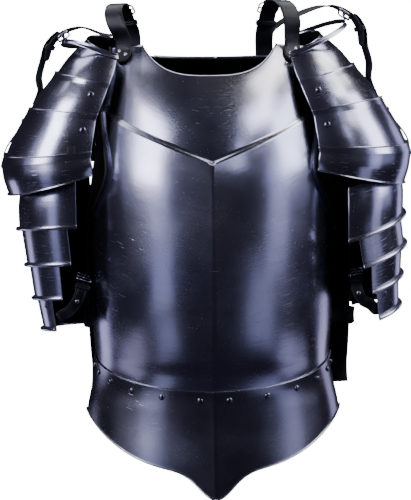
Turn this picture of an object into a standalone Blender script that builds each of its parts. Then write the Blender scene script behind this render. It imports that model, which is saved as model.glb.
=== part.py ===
"""A steel cuirass as it hangs when worn: breastplate, backplate and fauld, a pair of shoulder
defences in overlapping lames, and the leather straps that hold them together.

Metres, +Z up, the front faces -Y. The origin lies midway between the shoulders, on the shoulder
line, so most of the object is below it. +X is the wearer's left.
"""

import math
from collections import namedtuple

import bmesh
import bpy
import numpy as np
from mathutils import Matrix, Vector

# Walls and clearances
PLATE = 0.0015
LAME_WALL = 0.0012
STRAP_THICK = 0.0026
GAP = 0.00035

# Torso, measured down from the shoulder line
TORSO_HEIGHT = 0.494
CHEST_WIDTH = 0.362
CHEST_DEPTH = 0.158
BACK_WIDTH = CHEST_WIDTH * 1.105
BACK_DEPTH = 0.135
BACK_SHIFT = 0.011
SIDE_ANGLE = math.radians(86)
BACK_ANGLE = math.radians(80)
SHEET_LIFT = 0.0009

# Breastplate details
NECK_DROP = 0.051
NECK_SHARE = 0.59
NECK_COLUMNS = 8
UPPER_ROWS = 4
TAB_DROP = 0.003
CREASE_STEP = 0.005
CREASE_BEVEL = 0.007
KEEL_HEIGHT = 0.006
KEEL_SPREAD = 0.030
NECK_ROLL = 0.0030
ARM_EDGE_ROLL = 0.0025
BACK_NECK_SHARE = 0.52
BACK_NECK_COLUMNS = 6

# Fauld
FLANGE = 0.022
FLANGE_ROWS = (0.0, FLANGE * 0.3, FLANGE)
FAULD_SIDE = 0.080
FAULD_FRONT = 0.110
FAULD_CURVE = 2.7
TIP_DROP = 0.036
TIP_WIDTH = 0.030
RIVET_RADIUS = 0.0042
RIVET_HEIGHT = 0.0026
RIVET_DROP = 0.0125

# Shoulder defences
COP_WIDTH = 0.206
COP_DEPTH = 0.206
COP_HEIGHT = 0.175
COP_OUT = CHEST_WIDTH * 0.51105
LAME_OVERLAP = 0.007
ARM_WIDTH = 0.160
ARM_DEPTH = 0.164
ARM_LAP = 0.014
ARM_TAPER = 0.0059
ARM_TOP_HEIGHT = 0.0750
LAME_ROLL = 0.0020
LAME_BULGE = 0.003

# Leathers
SHOULDER_STRAP_WIDTH = 0.027
HANGER_WIDTH = 0.022
ARM_STRAP_WIDTH = 0.017
SIDE_STRAP_WIDTH = 0.024
SIDE_STRAP_CLEAR = 0.006
BUCKLE_WIRE = 0.0028
BUCKLE_LENGTH = 0.021
BUCKLE_SIDE = 0.004
BUCKLE_LIFT = 0.0007
CURVED_LIFT = 0.0021
ARM_STRAP_PLACE = 0.70

STEEL = ("polished_steel", (0.55, 0.56, 0.62, 1.0), 0.18, 1.0)
LEATHER = ("black_leather", (0.012, 0.012, 0.013, 1.0), 0.45, 0.0)

Section = namedtuple("Section", "height width front back back_width")
# Down the body: height and depths as shares of TORSO_HEIGHT, CHEST_WIDTH, CHEST_DEPTH,
# BACK_DEPTH and BACK_WIDTH
TORSO = [
    Section(-0.03, 0.830, 0.18, 0.27, 0.780),
    Section(0.00, 0.840, 0.25, 0.34, 0.800),
    Section(0.10, 0.870, 0.54, 0.64, 0.850),
    Section(0.20, 0.935, 0.75, 0.86, 0.905),
    Section(0.36, 1.000, 0.95, 1.00, 0.965),
    Section(0.52, 0.998, 1.00, 0.98, 1.000),
    Section(0.70, 0.985, 0.99, 0.86, 1.000),
    Section(0.84, 0.975, 0.93, 0.72, 0.990),
    Section(0.91, 0.960, 0.870, 0.64, 0.980),
    Section(0.96, 0.958, 0.812, 0.60, 0.970),
    Section(1.00, 0.975, 0.785, 0.59, 0.972),
    Section(1.06, 1.010, 0.800, 0.61, 0.990),
    Section(1.20, 1.065, 0.885, 0.68, 1.030),
    Section(1.34, 1.120, 0.975, 0.74, 1.070),
]

Row = namedtuple("Row", "edge angle centre bend")
# Breastplate below the crease: heights of the edge and of the centre line as shares of
# TORSO_HEIGHT, angle of the edge as a share of SIDE_ANGLE, and how the row bends between them
BREAST_ROWS = [
    Row(0.196, 0.777, 0.358, 0.96),
    Row(0.253, 0.720, 0.392, 1.00),
    Row(0.304, 0.660, 0.426, 1.05),
    Row(0.348, 0.628, 0.460, 1.10),
    Row(0.381, 0.625, 0.495, 1.15),
    Row(0.411, 0.648, 0.530, 1.20),
    Row(0.435, 0.684, 0.565, 1.25),
    Row(0.470, 0.750, 0.605, 1.30),
    Row(0.512, 0.856, 0.650, 1.35),
    Row(0.560, 1.000, 0.700, 1.40),
    Row(0.660, 1.000, 0.780, 1.50),
    Row(0.770, 1.000, 0.870, 1.60),
    Row(0.860, 1.000, 0.945, 1.65),
    Row(0.914, 1.000, 1.000, 1.85),
]
ARMHOLE_END = 9
# Backplate from the neck to its lower edge, the same columns with BACK_ANGLE
BACK_ROWS = [
    Row(0.010, 0.830, 0.032, 2.60),
    Row(0.110, 0.900, 0.130, 2.20),
    Row(0.220, 0.930, 0.235, 2.00),
    Row(0.330, 0.930, 0.340, 1.80),
    Row(0.400, 0.940, 0.420, 1.60),
    Row(0.450, 0.960, 0.490, 1.50),
    Row(0.490, 0.980, 0.560, 1.40),
    Row(0.540, 1.000, 0.640, 1.40),
    Row(0.680, 1.000, 0.760, 1.40),
    Row(0.820, 1.000, 0.880, 1.40),
    Row(0.940, 1.000, 0.970, 1.40),
    Row(1.020, 1.000, 1.050, 1.40),
]
# Rivets along the fauld, as shares of SIDE_ANGLE from the front centre
RIVET_PLACES = (0.076, 0.285, 0.480, 0.670, 0.830, 0.945)

Ring = namedtuple("Ring", "out radius depth level slope pitch front rear")
# Rings of the shoulder dome, top to bottom: centre, radius and half depth as shares of COP_OUT,
# half COP_WIDTH and half COP_DEPTH, level as a share of COP_HEIGHT below the shoulder line, the
# slope of the ring's plane outwards and to the rear, and the angles in degrees of its front and
# rear ends
COP_RINGS = [
    Ring(0.675, 0.390, 0.485, 0.006, 0.35, 0.28, 104, 100),
    Ring(0.773, 0.708, 0.716, 0.330, 0.254, 0.05, 101, 100),
    Ring(0.898, 0.869, 0.863, 0.592, 0.159, 0.03, 103, 102),
    Ring(1.012, 1.035, 1.000, 0.872, -0.04, 0.10, 109, 106),
    Ring(1.004, 0.976, 1.010, 1.033, -0.215, 0.11, 111, 107),
]
# The strip above the dome stands out and up from it at its middle
STRIP_REACH = 0.033
STRIP_HEIGHT = 0.007
STRIP_LAP = 0.004
# Rivets of the dome across the space of its front leather
COP_RIVET_PLACES = (0.40, 0.15)

Lame = namedtuple("Lame", "radius depth rear")
# Upper-arm lames: radius and half depth as shares of half ARM_WIDTH and half ARM_DEPTH
ARM_LAMES = [Lame(1.000, 1.000, 106), Lame(0.925, 0.890, 104), Lame(0.825, 0.785, 100),
             Lame(0.715, 0.680, 96)]
# An arm lame hangs at a share of CHEST_WIDTH out, with its level and front end's angle
Hang = namedtuple("Hang", "out level front")
Side = namedtuple("Side", "name sign shift width drop tilt rise lean arm_slope arm_pitch hangs")
# Where each side's lames hang, and how far each arm lame reaches round the front in degrees: the
# wearer's right side hangs lower and further out
SIDES = [
    Side("left", 1, 0.000, 1.00, 0.0000, 0.00, 0.004, 0.0, 0.29, 0.174, [
        Hang(0.56354, -0.2708, 97), Hang(0.58425, -0.3139, 86), Hang(0.59254, -0.3566, 76),
        Hang(0.60912, -0.3993, 69)]),
    Side("right", -1, 0.016, 0.95, 0.0026, 0.07, -0.015, -0.4, -0.045, -0.027, [
        Hang(0.55967, -0.2640, 97), Hang(0.54696, -0.3168, 87), Hang(0.54144, -0.3664, 72),
        Hang(0.53177, -0.4122, 53)]),
]
# Columns around a lame as shares of its turn: the leathers lie behind three of the spaces
TURN = (0, 0.035, 0.13, 0.215, 0.30, 0.385, 0.46, 0.54, 0.615, 0.70, 0.785, 0.87, 0.965, 1)
LEATHER_SPACES = {"front": 1, "centre": 6, "rear": 11}


def clear_scene():
    """Start from an empty scene."""
    for item in list(bpy.data.objects):
        bpy.data.objects.remove(item, do_unlink=True)


def new_collection(name):
    group = bpy.data.collections.new(name)
    bpy.context.scene.collection.children.link(group)
    return group


def material(finish):
    """The plain colour, roughness and metallic value of one finish."""
    name, colour, roughness, metallic = finish
    found = bpy.data.materials.get(name)
    if found:
        return found
    made = bpy.data.materials.new(name)
    made.use_nodes = True
    shader = made.node_tree.nodes["Principled BSDF"]
    shader.inputs["Base Color"].default_value = colour
    shader.inputs["Roughness"].default_value = roughness
    shader.inputs["Metallic"].default_value = metallic
    return made


def smooth(places, values, at):
    """A smooth curve through the values at the given places (cubic, with averaged slopes)."""
    places, values = np.asarray(places, float), np.asarray(values, float)
    slopes = np.gradient(values, places)
    at = np.clip(np.asarray(at, float), places[0], places[-1])
    cell = np.clip(np.searchsorted(places, at, side="right") - 1, 0, len(places) - 2)
    width = places[cell + 1] - places[cell]
    t = (at - places[cell]) / width
    ends = values[cell] * (1 + 2 * t) * (1 - t) ** 2 + values[cell + 1] * t * t * (3 - 2 * t)
    return ends + width * t * (1 - t) * ((1 - t) * slopes[cell] - t * slopes[cell + 1])


def torso(column, height):
    """One column of the torso table at a height below the shoulder line."""
    shares = [row.height for row in TORSO]
    return smooth(shares, [getattr(row, column) for row in TORSO], height / TORSO_HEIGHT)


def front_point(angle, height, lift=0.0, keel=1.0):
    """The front of the body at an angle from the centre line and a height below the shoulders."""
    half = CHEST_WIDTH / 2 * torso("width", height) + lift
    depth = CHEST_DEPTH * torso("front", height) + lift
    x = half * np.sin(angle)
    y = -depth * np.cos(angle) - keel * KEEL_HEIGHT * np.exp(-np.abs(x) / KEEL_SPREAD)
    return np.stack(np.broadcast_arrays(x, y, -np.asarray(height, float)), axis=-1)


def back_point(angle, height, lift=0.0):
    """The back of the body, its angle measured from the middle of the back."""
    half = BACK_WIDTH / 2 * torso("back_width", height) + lift
    depth = BACK_DEPTH * torso("back", height) + lift
    return np.stack(np.broadcast_arrays(
        half * np.sin(angle), depth * np.cos(angle), -np.asarray(height, float)), axis=-1)


def row_heights(rows, share, turn):
    """Edge angle share and height below the shoulders along rows of a table at fractional rows."""
    index = np.arange(len(rows))
    edge, angle, centre, bend = (
        smooth(index, [getattr(row, name) for row in rows], share) for name in Row._fields)
    height = centre + (edge - centre) * turn ** bend
    return angle, height * TORSO_HEIGHT


def breast_lower(share, turn):
    """A point below the crease: share counts the table's rows, turn goes from centre to edge."""
    angle, height = row_heights(BREAST_ROWS, share, turn)
    return front_point(angle * SIDE_ANGLE * turn, height)


def breast_top_height(turn):
    """Height of the neck curve and of the shoulder tab beyond it."""
    neck = np.clip(turn / NECK_SHARE, 0, 1)
    tab = np.clip((turn - NECK_SHARE) / (1 - NECK_SHARE), 0, 1)
    return NECK_DROP + (TAB_DROP - NECK_DROP) * neck ** 3 + TAB_DROP * tab


def breast_upper(share, turn):
    """A point of the upper chest: share is 0 at the neck and 1 at the bevel of the crease."""
    crease_angle, crease_height = row_heights(BREAST_ROWS, np.zeros_like(turn), turn)
    top = breast_top_height(turn)
    height = top + (crease_height - CREASE_BEVEL - top) * share
    return front_point(crease_angle * SIDE_ANGLE * turn, height, -CREASE_STEP * share, 0.0)


def sheet_object(name, group, grids, wall, finish, mirror=False, offset=-1):
    """Join grids of points into one open surface and give it a wall inwards of its faces."""
    mesh = bpy.data.meshes.new(name)
    work = bmesh.new()
    for grid in grids:
        rows, columns = grid.shape[:2]
        points = [work.verts.new(point) for point in grid.reshape(-1, 3)]
        for row in range(rows - 1):
            for column in range(columns - 1):
                first = row * columns + column
                corners = (first, first + columns, first + columns + 1, first + 1)
                work.faces.new([points[corner] for corner in corners])
    bmesh.ops.remove_doubles(work, verts=work.verts, dist=1e-6)
    work.to_mesh(mesh)
    work.free()
    made = bpy.data.objects.new(name, mesh)
    group.objects.link(made)
    made.data.materials.append(material(finish))
    if mirror:
        half = made.modifiers.new("other half", "MIRROR")
        half.use_clip = True
        half.merge_threshold = 0.00005
    shell = made.modifiers.new("wall", "SOLIDIFY")
    shell.thickness = wall
    shell.offset = offset
    shell.use_even_offset = True
    made.data.shade_smooth()
    made.data.set_sharp_from_angle(angle=math.radians(40))
    return made


def rolled(edge, inner, radius, normal_sign, steps=3, turn=math.radians(250)):
    """Rows that curl an edge outwards: edge is the last row, inner the row next to it."""
    away = edge - inner
    away /= np.linalg.norm(away, axis=-1, keepdims=True)
    along = np.gradient(edge, axis=0)
    normal = normal_sign * np.cross(along, away)
    normal /= np.linalg.norm(normal, axis=-1, keepdims=True)
    angles = turn * np.arange(steps + 1) / steps
    return np.stack([
        edge + radius * (normal * (1 - math.cos(angle)) + away * math.sin(angle))
        for angle in angles])


def breast_turns():
    """Columns of the half breastplate, one of them at the end of the neck curve."""
    neck = np.linspace(0, NECK_SHARE, NECK_COLUMNS)
    return np.concatenate([neck, np.linspace(NECK_SHARE, 1, 4)[1:]])


def breast_rows():
    """The half breastplate from its neck edge to the flange under the fauld."""
    turns = breast_turns()
    upper = [breast_upper(share, turns) for share in np.linspace(0, 1, UPPER_ROWS)]
    lower = [breast_lower(float(row), turns) for row in range(len(BREAST_ROWS) - 1)]
    return np.stack(upper + lower + list(waist_rows(turns, FLANGE_ROWS, 0.0)))


def breastplate(group):
    """Upper chest, bevelled crease, lower chest with its flange, and the rolled edges."""
    body = breast_rows()
    neck = rolled(body[0, :NECK_COLUMNS], body[1, :NECK_COLUMNS], NECK_ROLL, -1)
    edge_rows = UPPER_ROWS + ARMHOLE_END + 1
    armhole = rolled(body[:edge_rows, -1], body[:edge_rows, -2], ARM_EDGE_ROLL, 1)
    grids = [body, neck[::-1], armhole.transpose(1, 0, 2)]
    return sheet_object("breastplate", group, grids, PLATE, STEEL, mirror=True)


def waist_rows(turns, drops, lift):
    """Rows that follow the waist line at the given drops below it."""
    _, waist = row_heights(BREAST_ROWS, np.full_like(turns, len(BREAST_ROWS) - 1), turns)
    return np.stack([front_point(SIDE_ANGLE * turns, waist + drop, lift) for drop in drops])


def fauld_edge(turns):
    """Height below the shoulders of the fauld's lower outline, with its ogee point."""
    half = CHEST_WIDTH / 2 * torso("width", TORSO_HEIGHT * 1.1)
    x = half * np.sin(SIDE_ANGLE * turns)
    side = BREAST_ROWS[-1].edge * TORSO_HEIGHT + FAULD_SIDE
    front = BREAST_ROWS[-1].centre * TORSO_HEIGHT + FAULD_FRONT
    plain = front - (front - side) * (x / half) ** FAULD_CURVE
    return plain + TIP_DROP * np.exp(-(x / TIP_WIDTH) ** 2)


def fauld_grid():
    """Columns and rows of the half fauld: the breastplate's columns, with more at the point."""
    turns = breast_turns()
    turns = np.sort(np.concatenate([turns, (turns[:3] + turns[1:4]) / 2]))
    lift = PLATE + SHEET_LIFT
    flat = waist_rows(turns, FLANGE_ROWS, lift)
    start, end = -flat[-1, :, 2], fauld_edge(turns)
    skirt = [front_point(SIDE_ANGLE * turns, start + (end - start) * share, lift)
             for share in (0.35, 0.7, 1.0)]
    return turns, np.concatenate([flat, skirt])


def fauld(group):
    """The skirt plate over the breastplate's flange."""
    _, grid = fauld_grid()
    return sheet_object("fauld", group, [grid], PLATE, STEEL, mirror=True)


def rivet_mesh(radius, height):
    """A low dome turned about its own axis, standing on z = 0."""
    profile = [(0.0, height), (radius * 0.55, height * 0.86), (radius, height * 0.25),
               (radius, 0.0), (0.0, 0.0)]
    mesh = bpy.data.meshes.new("rivet profile")
    points = [(x, 0.0, z) for x, z in profile]
    mesh.from_pydata(points, [(n, n + 1) for n in range(len(points) - 1)], [])
    return mesh


def rivet(name, group, mesh, seat, normal):
    """A rivet head standing on its seat, square to the plate."""
    made = bpy.data.objects.new(name, mesh)
    group.objects.link(made)
    made.location = Vector(seat) + Vector(normal) * GAP
    made.rotation_euler = Vector(normal).to_track_quat("Z", "Y").to_euler()
    turned = made.modifiers.new("turned", "SCREW")
    turned.steps = 8
    turned.render_steps = 8
    turned.use_merge_vertices = True
    turned.merge_threshold = 0.00001
    return made


def seat_on(grid, row, column, down, across):
    """Point and outward normal inside one face of a grid of points."""
    a, b = grid[row, column], grid[row, column + 1]
    c, d = grid[row + 1, column], grid[row + 1, column + 1]
    point = (a * (1 - across) + b * across) * (1 - down) + (c * (1 - across) + d * across) * down
    normal = np.cross(d - a, b - c)
    return point, normal / np.linalg.norm(normal)


def fauld_rivets(group, mesh):
    """Six rivets on each half of the fauld, numbered from the wearer's right to the left."""
    turns, grid = fauld_grid()
    down = (RIVET_DROP - FLANGE_ROWS[1]) / (FLANGE_ROWS[2] - FLANGE_ROWS[1])
    seats = []
    for place in RIVET_PLACES:
        column = min(int(np.searchsorted(turns, place, side="right")), len(turns) - 1) - 1
        across = (place - turns[column]) / (turns[column + 1] - turns[column])
        seats.append(seat_on(grid, 1, column, down, across))
    flip = np.array([-1, 1, 1])
    ordered = [(point * flip, normal * flip) for point, normal in reversed(seats)] + seats
    for number, (point, normal) in enumerate(ordered, 1):
        rivet(f"fauld_rivet_{number}", group, mesh, point, normal)


def back_rows():
    """The half backplate from its neck edge to its lower edge."""
    neck = np.linspace(0, BACK_NECK_SHARE, BACK_NECK_COLUMNS)
    turns = np.concatenate([neck, np.linspace(BACK_NECK_SHARE, 1, 4)[1:]])
    rows = []
    for row in range(len(BACK_ROWS)):
        angle, height = row_heights(BACK_ROWS, np.full_like(turns, float(row)), turns)
        rows.append(back_point(angle * BACK_ANGLE * turns, height))
    return np.stack(rows)


def backplate(group):
    """The back sheet with its rolled neck edge."""
    body = back_rows()
    neck = rolled(body[0, :BACK_NECK_COLUMNS], body[1, :BACK_NECK_COLUMNS], NECK_ROLL, 1)
    grids = [body[:, ::-1], neck[::-1, ::-1]]
    made = sheet_object("backplate", group, grids, PLATE, STEEL, mirror=True)
    made.location.x = BACK_SHIFT
    return made


def cop_ring(side, ring, grow=0.0, raise_by=0.0):
    """One ring of the shoulder dome on the given side, grown outwards and raised."""
    turn = np.radians(-ring.front + (ring.front + ring.rear) * np.array(TURN))
    radius = ring.radius * side.width * COP_WIDTH / 2 + grow
    out = ring.out * COP_OUT + radius * np.cos(turn)
    y = (ring.depth * COP_DEPTH / 2 + grow) * np.sin(turn)
    level = -ring.level * COP_HEIGHT + raise_by
    z = level + ring.slope * (out - ring.out * COP_OUT) + ring.pitch * y
    return placed(side, out, y, z)


def placed(side, out, y, z):
    """Move points of the shoulder defence to where it hangs on its side."""
    z = z - side.drop - side.tilt * (out - COP_OUT * 0.8)
    return np.stack([side.sign * (out + side.shift), y, z], axis=-1)


def blend_rings(first, second, share):
    return first._replace(**{
        name: getattr(first, name) * (1 - share) + getattr(second, name) * share
        for name in Ring._fields})


def cop_lame_grid(side, number):
    """Outer face of one lame of the dome: each lower lame laps over the one above it."""
    top, bottom = COP_RINGS[number - 1], COP_RINGS[number]
    rows = []
    if number == 1:
        rows.append(cop_ring(side, top))
    else:
        above = COP_RINGS[number - 2]
        lift = (top.level - above.level) * COP_HEIGHT
        lap = blend_rings(above, top, 1 - LAME_OVERLAP / lift)
        grow = (LAME_WALL + GAP) * 1.45
        rows.append(cop_ring(side, lap, grow + LAME_BULGE * 0.6))
        rows.append(cop_ring(side, top, grow))
    middle = blend_rings(top, bottom, 0.5)
    rows.append(cop_ring(side, middle, LAME_BULGE))
    rows.append(cop_ring(side, bottom))
    return np.stack(rows)


def top_strip_grid(side):
    """The strip laps over the first lame at its ends and stands clear of it at its middle."""
    ring = COP_RINGS[0]
    turn = np.radians(-ring.front + (ring.front + ring.rear) * np.array(TURN))
    middle = np.clip(np.cos(turn), 0, 1)
    rows = []
    for drop in (STRIP_LAP - STRIP_HEIGHT, STRIP_LAP):
        grow = (LAME_WALL + GAP) * 1.7 + max(drop, 0) * 0.7
        out = ring.out * COP_OUT + (ring.radius * side.width * COP_WIDTH / 2 + grow) * np.cos(turn)
        out = out + STRIP_REACH * middle
        y = (ring.depth * COP_DEPTH / 2 + grow) * np.sin(turn)
        z = -ring.level * COP_HEIGHT + ring.slope * (out - ring.out * COP_OUT) + ring.pitch * y
        rows.append(placed(side, out, y, z + (side.rise + side.lean * y) * middle - drop))
    return np.stack(rows)


def arm_ring(side, number, share, grow=0.0, front=None):
    """A ring of an arm lame: share 0 is its upper edge and 1 its lower edge."""
    lame, hang = ARM_LAMES[number - 1], side.hangs[number - 1]
    front = front or hang.front
    radius, depth = lame.radius * ARM_WIDTH / 2, lame.depth * ARM_DEPTH / 2
    rear, out, level = lame.rear, hang.out * CHEST_WIDTH, hang.level
    if number == 1:
        taper = ARM_TAPER * (1 - share)
        radius, depth = radius - taper, depth - taper
        level = level + ARM_TOP_HEIGHT * (1 - share)
    else:
        upper, above = ARM_LAMES[number - 2], side.hangs[number - 2]
        start = [upper.radius * ARM_WIDTH / 2, upper.depth * ARM_DEPTH / 2,
                 upper.rear, above.out * CHEST_WIDTH, above.level]
        own = [radius, depth, rear, out, level]
        radius, depth, rear, out, level = (a + (b - a) * share for a, b in zip(start, own))
    turn = np.radians(-front + (front + rear) * np.array(TURN))
    out_points = out + (radius + grow) * np.cos(turn)
    y = (depth + grow) * np.sin(turn)
    z = level + side.arm_slope * (out_points - out) + side.arm_pitch * y
    return np.stack([side.sign * out_points, y, z], axis=-1)


def arm_lame_grid(side, number):
    """Outer face of one arm lame: its top lies inside the lame above it."""
    if number == 1:
        rows = [arm_ring(side, 1, 0.0), arm_ring(side, 1, 0.5, LAME_BULGE), arm_ring(side, 1, 1.0)]
        return np.stack(rows)
    inset = -(LAME_WALL + GAP) * 2.1
    above_drop = arm_drop(side, number - 1)
    front = side.hangs[number - 1].front
    lap = arm_ring(side, number - 1, 1 - ARM_LAP / above_drop, inset, front)
    knee = arm_ring(side, number, 0.0, inset)
    middle = arm_ring(side, number, 0.5, inset / 2)
    return np.stack([lap, knee, middle, arm_ring(side, number, 1.0)])


def arm_drop(side, number):
    """Height that an arm lame adds below the one above it."""
    if number == 1:
        return ARM_TOP_HEIGHT
    return side.hangs[number - 2].level - side.hangs[number - 1].level


def outward(side, grid):
    """Order the columns so that faces point outwards on either side."""
    return grid[:, ::-1] if side.sign < 0 else grid


def lames(group, side):
    """All nine lames of one shoulder defence."""
    sheet_object(f"{side.name}_top_lame", group, [outward(side, top_strip_grid(side))], LAME_WALL, STEEL)
    for number in range(1, len(COP_RINGS)):
        grid = outward(side, cop_lame_grid(side, number))
        sheet_object(f"{side.name}_cop_lame_{number}", group, [grid], LAME_WALL, STEEL)
    for number in range(1, len(ARM_LAMES) + 1):
        grid = arm_lame_grid(side, number)
        roll = rolled(grid[-1], grid[-2], LAME_ROLL, -side.sign)
        grid = np.concatenate([grid, roll[1:]])
        sheet_object(f"{side.name}_arm_lame_{number}", group, [outward(side, grid)], LAME_WALL, STEEL)


def cop_rivets(group, side, mesh):
    """Two rivets at the front of the dome, on the second and third lames."""
    for number, lame in enumerate((2, 3), 1):
        grid = cop_lame_grid(side, lame)
        point, normal = seat_on(grid, 1, LEATHER_SPACES["front"], 0.5, COP_RIVET_PLACES[number - 1])
        rivet(f"{side.name}_cop_rivet_{number}", group, mesh, point, normal * side.sign)


def inner_leathers(group, side):
    """Three straps inside each shoulder defence, one space of the lames wide."""
    reach = LAME_WALL + GAP + STRAP_THICK / 2
    rings = [cop_ring(side, ring, -reach * 1.2) for ring in COP_RINGS[:4]]
    rings += [arm_ring(side, 1, -0.10, -reach * 1.4), arm_ring(side, 1, 0.4, -reach * 1.3)]
    for number in range(2, len(ARM_LAMES) + 1):
        above_drop = arm_drop(side, number - 1)
        inset = -(LAME_WALL + GAP) * 2.1 - reach * 1.3
        front = side.hangs[number - 1].front
        rings.append(arm_ring(side, number - 1, 1 - ARM_LAP / above_drop, inset, front))
        rings.append(arm_ring(side, number, 0.0, inset))
    rings.append(arm_ring(side, len(ARM_LAMES), 0.30, -reach * 2.3))
    grid = np.stack(rings)
    for name, space in LEATHER_SPACES.items():
        strip = grid[:, space:space + 2]
        inset = (strip[:, 1:] - strip[:, :1]) * 0.06
        strip = np.concatenate([strip[:, :1] + inset, strip[:, 1:] - inset], axis=1)
        sheet_object(f"{side.name}_inner_leather_{name}", group, [outward(side, strip)],
                     STRAP_THICK, LEATHER, offset=0)


def ribbon_grid(points, across, width, count):
    """Two edges of a strap along a smooth path, its width turned to the given directions."""
    points, across = np.asarray(points, float), np.asarray(across, float)
    steps = np.concatenate([[0], np.cumsum(np.linalg.norm(np.diff(points, axis=0), axis=1))])
    at = np.linspace(0, steps[-1], count)
    line, side = (np.stack([smooth(steps, given[:, axis], at) for axis in range(3)], axis=-1)
                  for given in (points, across))
    along = np.gradient(line, axis=0)
    along /= np.linalg.norm(along, axis=-1, keepdims=True)
    side = side - along * np.sum(side * along, axis=-1, keepdims=True)
    side /= np.linalg.norm(side, axis=-1, keepdims=True)
    return np.stack([line - side * width / 2, line + side * width / 2], axis=1)


def buckle(name, group, strap, index, width, outside, lift=BUCKLE_LIFT):
    """A flat frame with rounded corners and a middle bar, lying on its strap at one of its rows."""
    curve = bpy.data.curves.new(name, "CURVE")
    curve.dimensions = "2D"
    curve.fill_mode = "BOTH"
    curve.extrude = BUCKLE_WIRE / 2
    half_width, half_length = width / 2 + BUCKLE_SIDE, BUCKLE_LENGTH / 2
    corner = BUCKLE_WIRE
    outline = [(half_width, half_length - corner), (half_width - corner, half_length)]
    outline += [(-x, y) for x, y in reversed(outline)]
    outline += [(x, -y) for x, y in reversed(outline)]
    add_outline(curve, outline)
    inner_x = half_width - BUCKLE_WIRE
    inner_y = half_length - BUCKLE_WIRE
    bar = BUCKLE_WIRE / 2
    for low, high in ((-inner_y, -bar), (bar, inner_y)):
        add_outline(curve, [(-inner_x, low), (-inner_x, high), (inner_x, high), (inner_x, low)])
    curve.materials.append(material(STEEL))
    made = bpy.data.objects.new(name, curve)
    group.objects.link(made)
    along = unit(strap[index + 1].mean(axis=0) - strap[index - 1].mean(axis=0))
    across = strap[index, 1] - strap[index, 0]
    across = unit(across - along * np.dot(across, along))
    face = np.cross(across, along)
    turned = 1 if np.dot(face, outside) > 0 else -1
    made.rotation_euler = Matrix(np.array([across * turned, along, face * turned]).T.tolist()).to_euler()
    away = STRAP_THICK / 2 + lift + BUCKLE_WIRE / 2
    made.location = Vector(strap[index].mean(axis=0) + face * turned * away)
    weld = made.modifiers.new("caps", "WELD")
    weld.merge_threshold = 0.00001
    return made


def add_outline(curve, points):
    """One closed outline or hole of a flat curve."""
    line = curve.splines.new("POLY")
    line.points.add(len(points) - 1)
    for item, (x, y) in zip(line.points, points):
        item.co = (x, y, 0.0, 1.0)
    line.use_cyclic_u = True


def unit(vector):
    return np.asarray(vector, float) / np.linalg.norm(vector)


def seat_at(grid, row, down, out):
    """Point, outward normal and sideways direction of a sheet's facet at a distance sideways."""
    line = grid[row] * (1 - down) + grid[row + 1] * down
    column = int(np.clip(np.searchsorted(line[:, 0], out) - 1, 0, len(line) - 2))
    across = (out - line[column, 0]) / (line[column + 1, 0] - line[column, 0])
    point = line[column] * (1 - across) + line[column + 1] * across
    sideways = unit(line[column + 1] - line[column])
    downwards = grid[row + 1, column] - grid[row, column]
    normal = unit(np.cross(downwards, sideways))
    return point, normal, sideways


def on_side(side, vectors):
    """Mirror points or directions to the wearer's side they belong to."""
    return [np.asarray(vector, float) * (side.sign, 1, 1) for vector in vectors]


def chest_route(points):
    """Places of a strap whose distances out are shares of CHEST_WIDTH."""
    return [np.array((point.out * CHEST_WIDTH, point.y, point.z)) for point in points]


def dome_route(points):
    """Places of a strap whose distances out from COP_OUT are shares of half COP_WIDTH."""
    return [np.array((COP_OUT + point.out * COP_WIDTH / 2, point.y, point.z)) for point in points]


Point = namedtuple("Point", "out y z")
# Free stretches of the shoulder straps, from the breastplate's tab to the backplate's: distances
# out are shares of CHEST_WIDTH here, in the feet and heels, and in the billets and arm straps
SHOULDER_ROUTES = {
    "left": [Point(0.33011, -0.0320, 0.008), Point(0.33149, -0.036, 0.026),
             Point(0.31768, -0.029, 0.048), Point(0.28729, -0.0090, 0.061),
             Point(0.25414, 0.016, 0.055), Point(0.23895, 0.030, 0.034),
             Point(0.23066, 0.0385, 0.0125)],
    "right": [Point(0.34392, -0.0300, 0.006), Point(0.36464, -0.034, 0.022),
              Point(0.38122, -0.027, 0.042), Point(0.37293, -0.0080, 0.057),
              Point(0.34807, 0.016, 0.051), Point(0.32735, 0.030, 0.031),
              Point(0.31215, 0.0360, 0.012)],
}
SHOULDER_FOOT = {"left": 0.32873, "right": 0.34254}
SHOULDER_HEEL = {"left": 0.23204, "right": 0.30939}
# Free stretches of the billets, from the shoulder straps' heels out to the hangers
BILLET_ROUTES = {
    "left": [Point(0.24309, 0.056, 0.012), Point(0.28729, 0.055, 0.030),
             Point(0.35912, 0.036, 0.043), Point(0.51934, 0.011, 0.0520)],
    "right": [Point(0.33425, 0.053, 0.006), Point(0.37017, 0.046, 0.0145),
              Point(0.43094, 0.032, 0.0180), Point(0.52762, 0.010, 0.0260)],
}
# The hangers from their top ends at the buckle down to where they meet the dome: distances out
# from COP_OUT are shares of half COP_WIDTH
HANGER_ROUTES = {
    "left": [Point(0.28155, 0.007, 0.0420), Point(0.41262, 0.008, 0.0190),
             Point(0.44175, 0.011, -0.0050), Point(0.50485, 0.015, -0.0290)],
    "right": [Point(0.33495, 0.006, 0.0205), Point(0.50485, 0.008, 0.0010),
              Point(0.57281, 0.011, -0.0207), Point(0.64078, 0.015, -0.0480)],
}
BILLET_REACH = 3
BILLET_CLEAR = 0.0027
BILLET_ROWS = 22
# The hanger's foot: its face of the dome's second lame, and for each point how far down that face
# it lies and how far it stands off
HANGER_SPACE = 7
HANGER_SEATS = ((0.58, 0.0), (0.20, 0.0), (-0.20, 0.004))
HANGER_ROWS = 16
HANGER_BUCKLE_ROW = 16
HANGER_BUCKLE_LIFT = 0.0024
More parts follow.
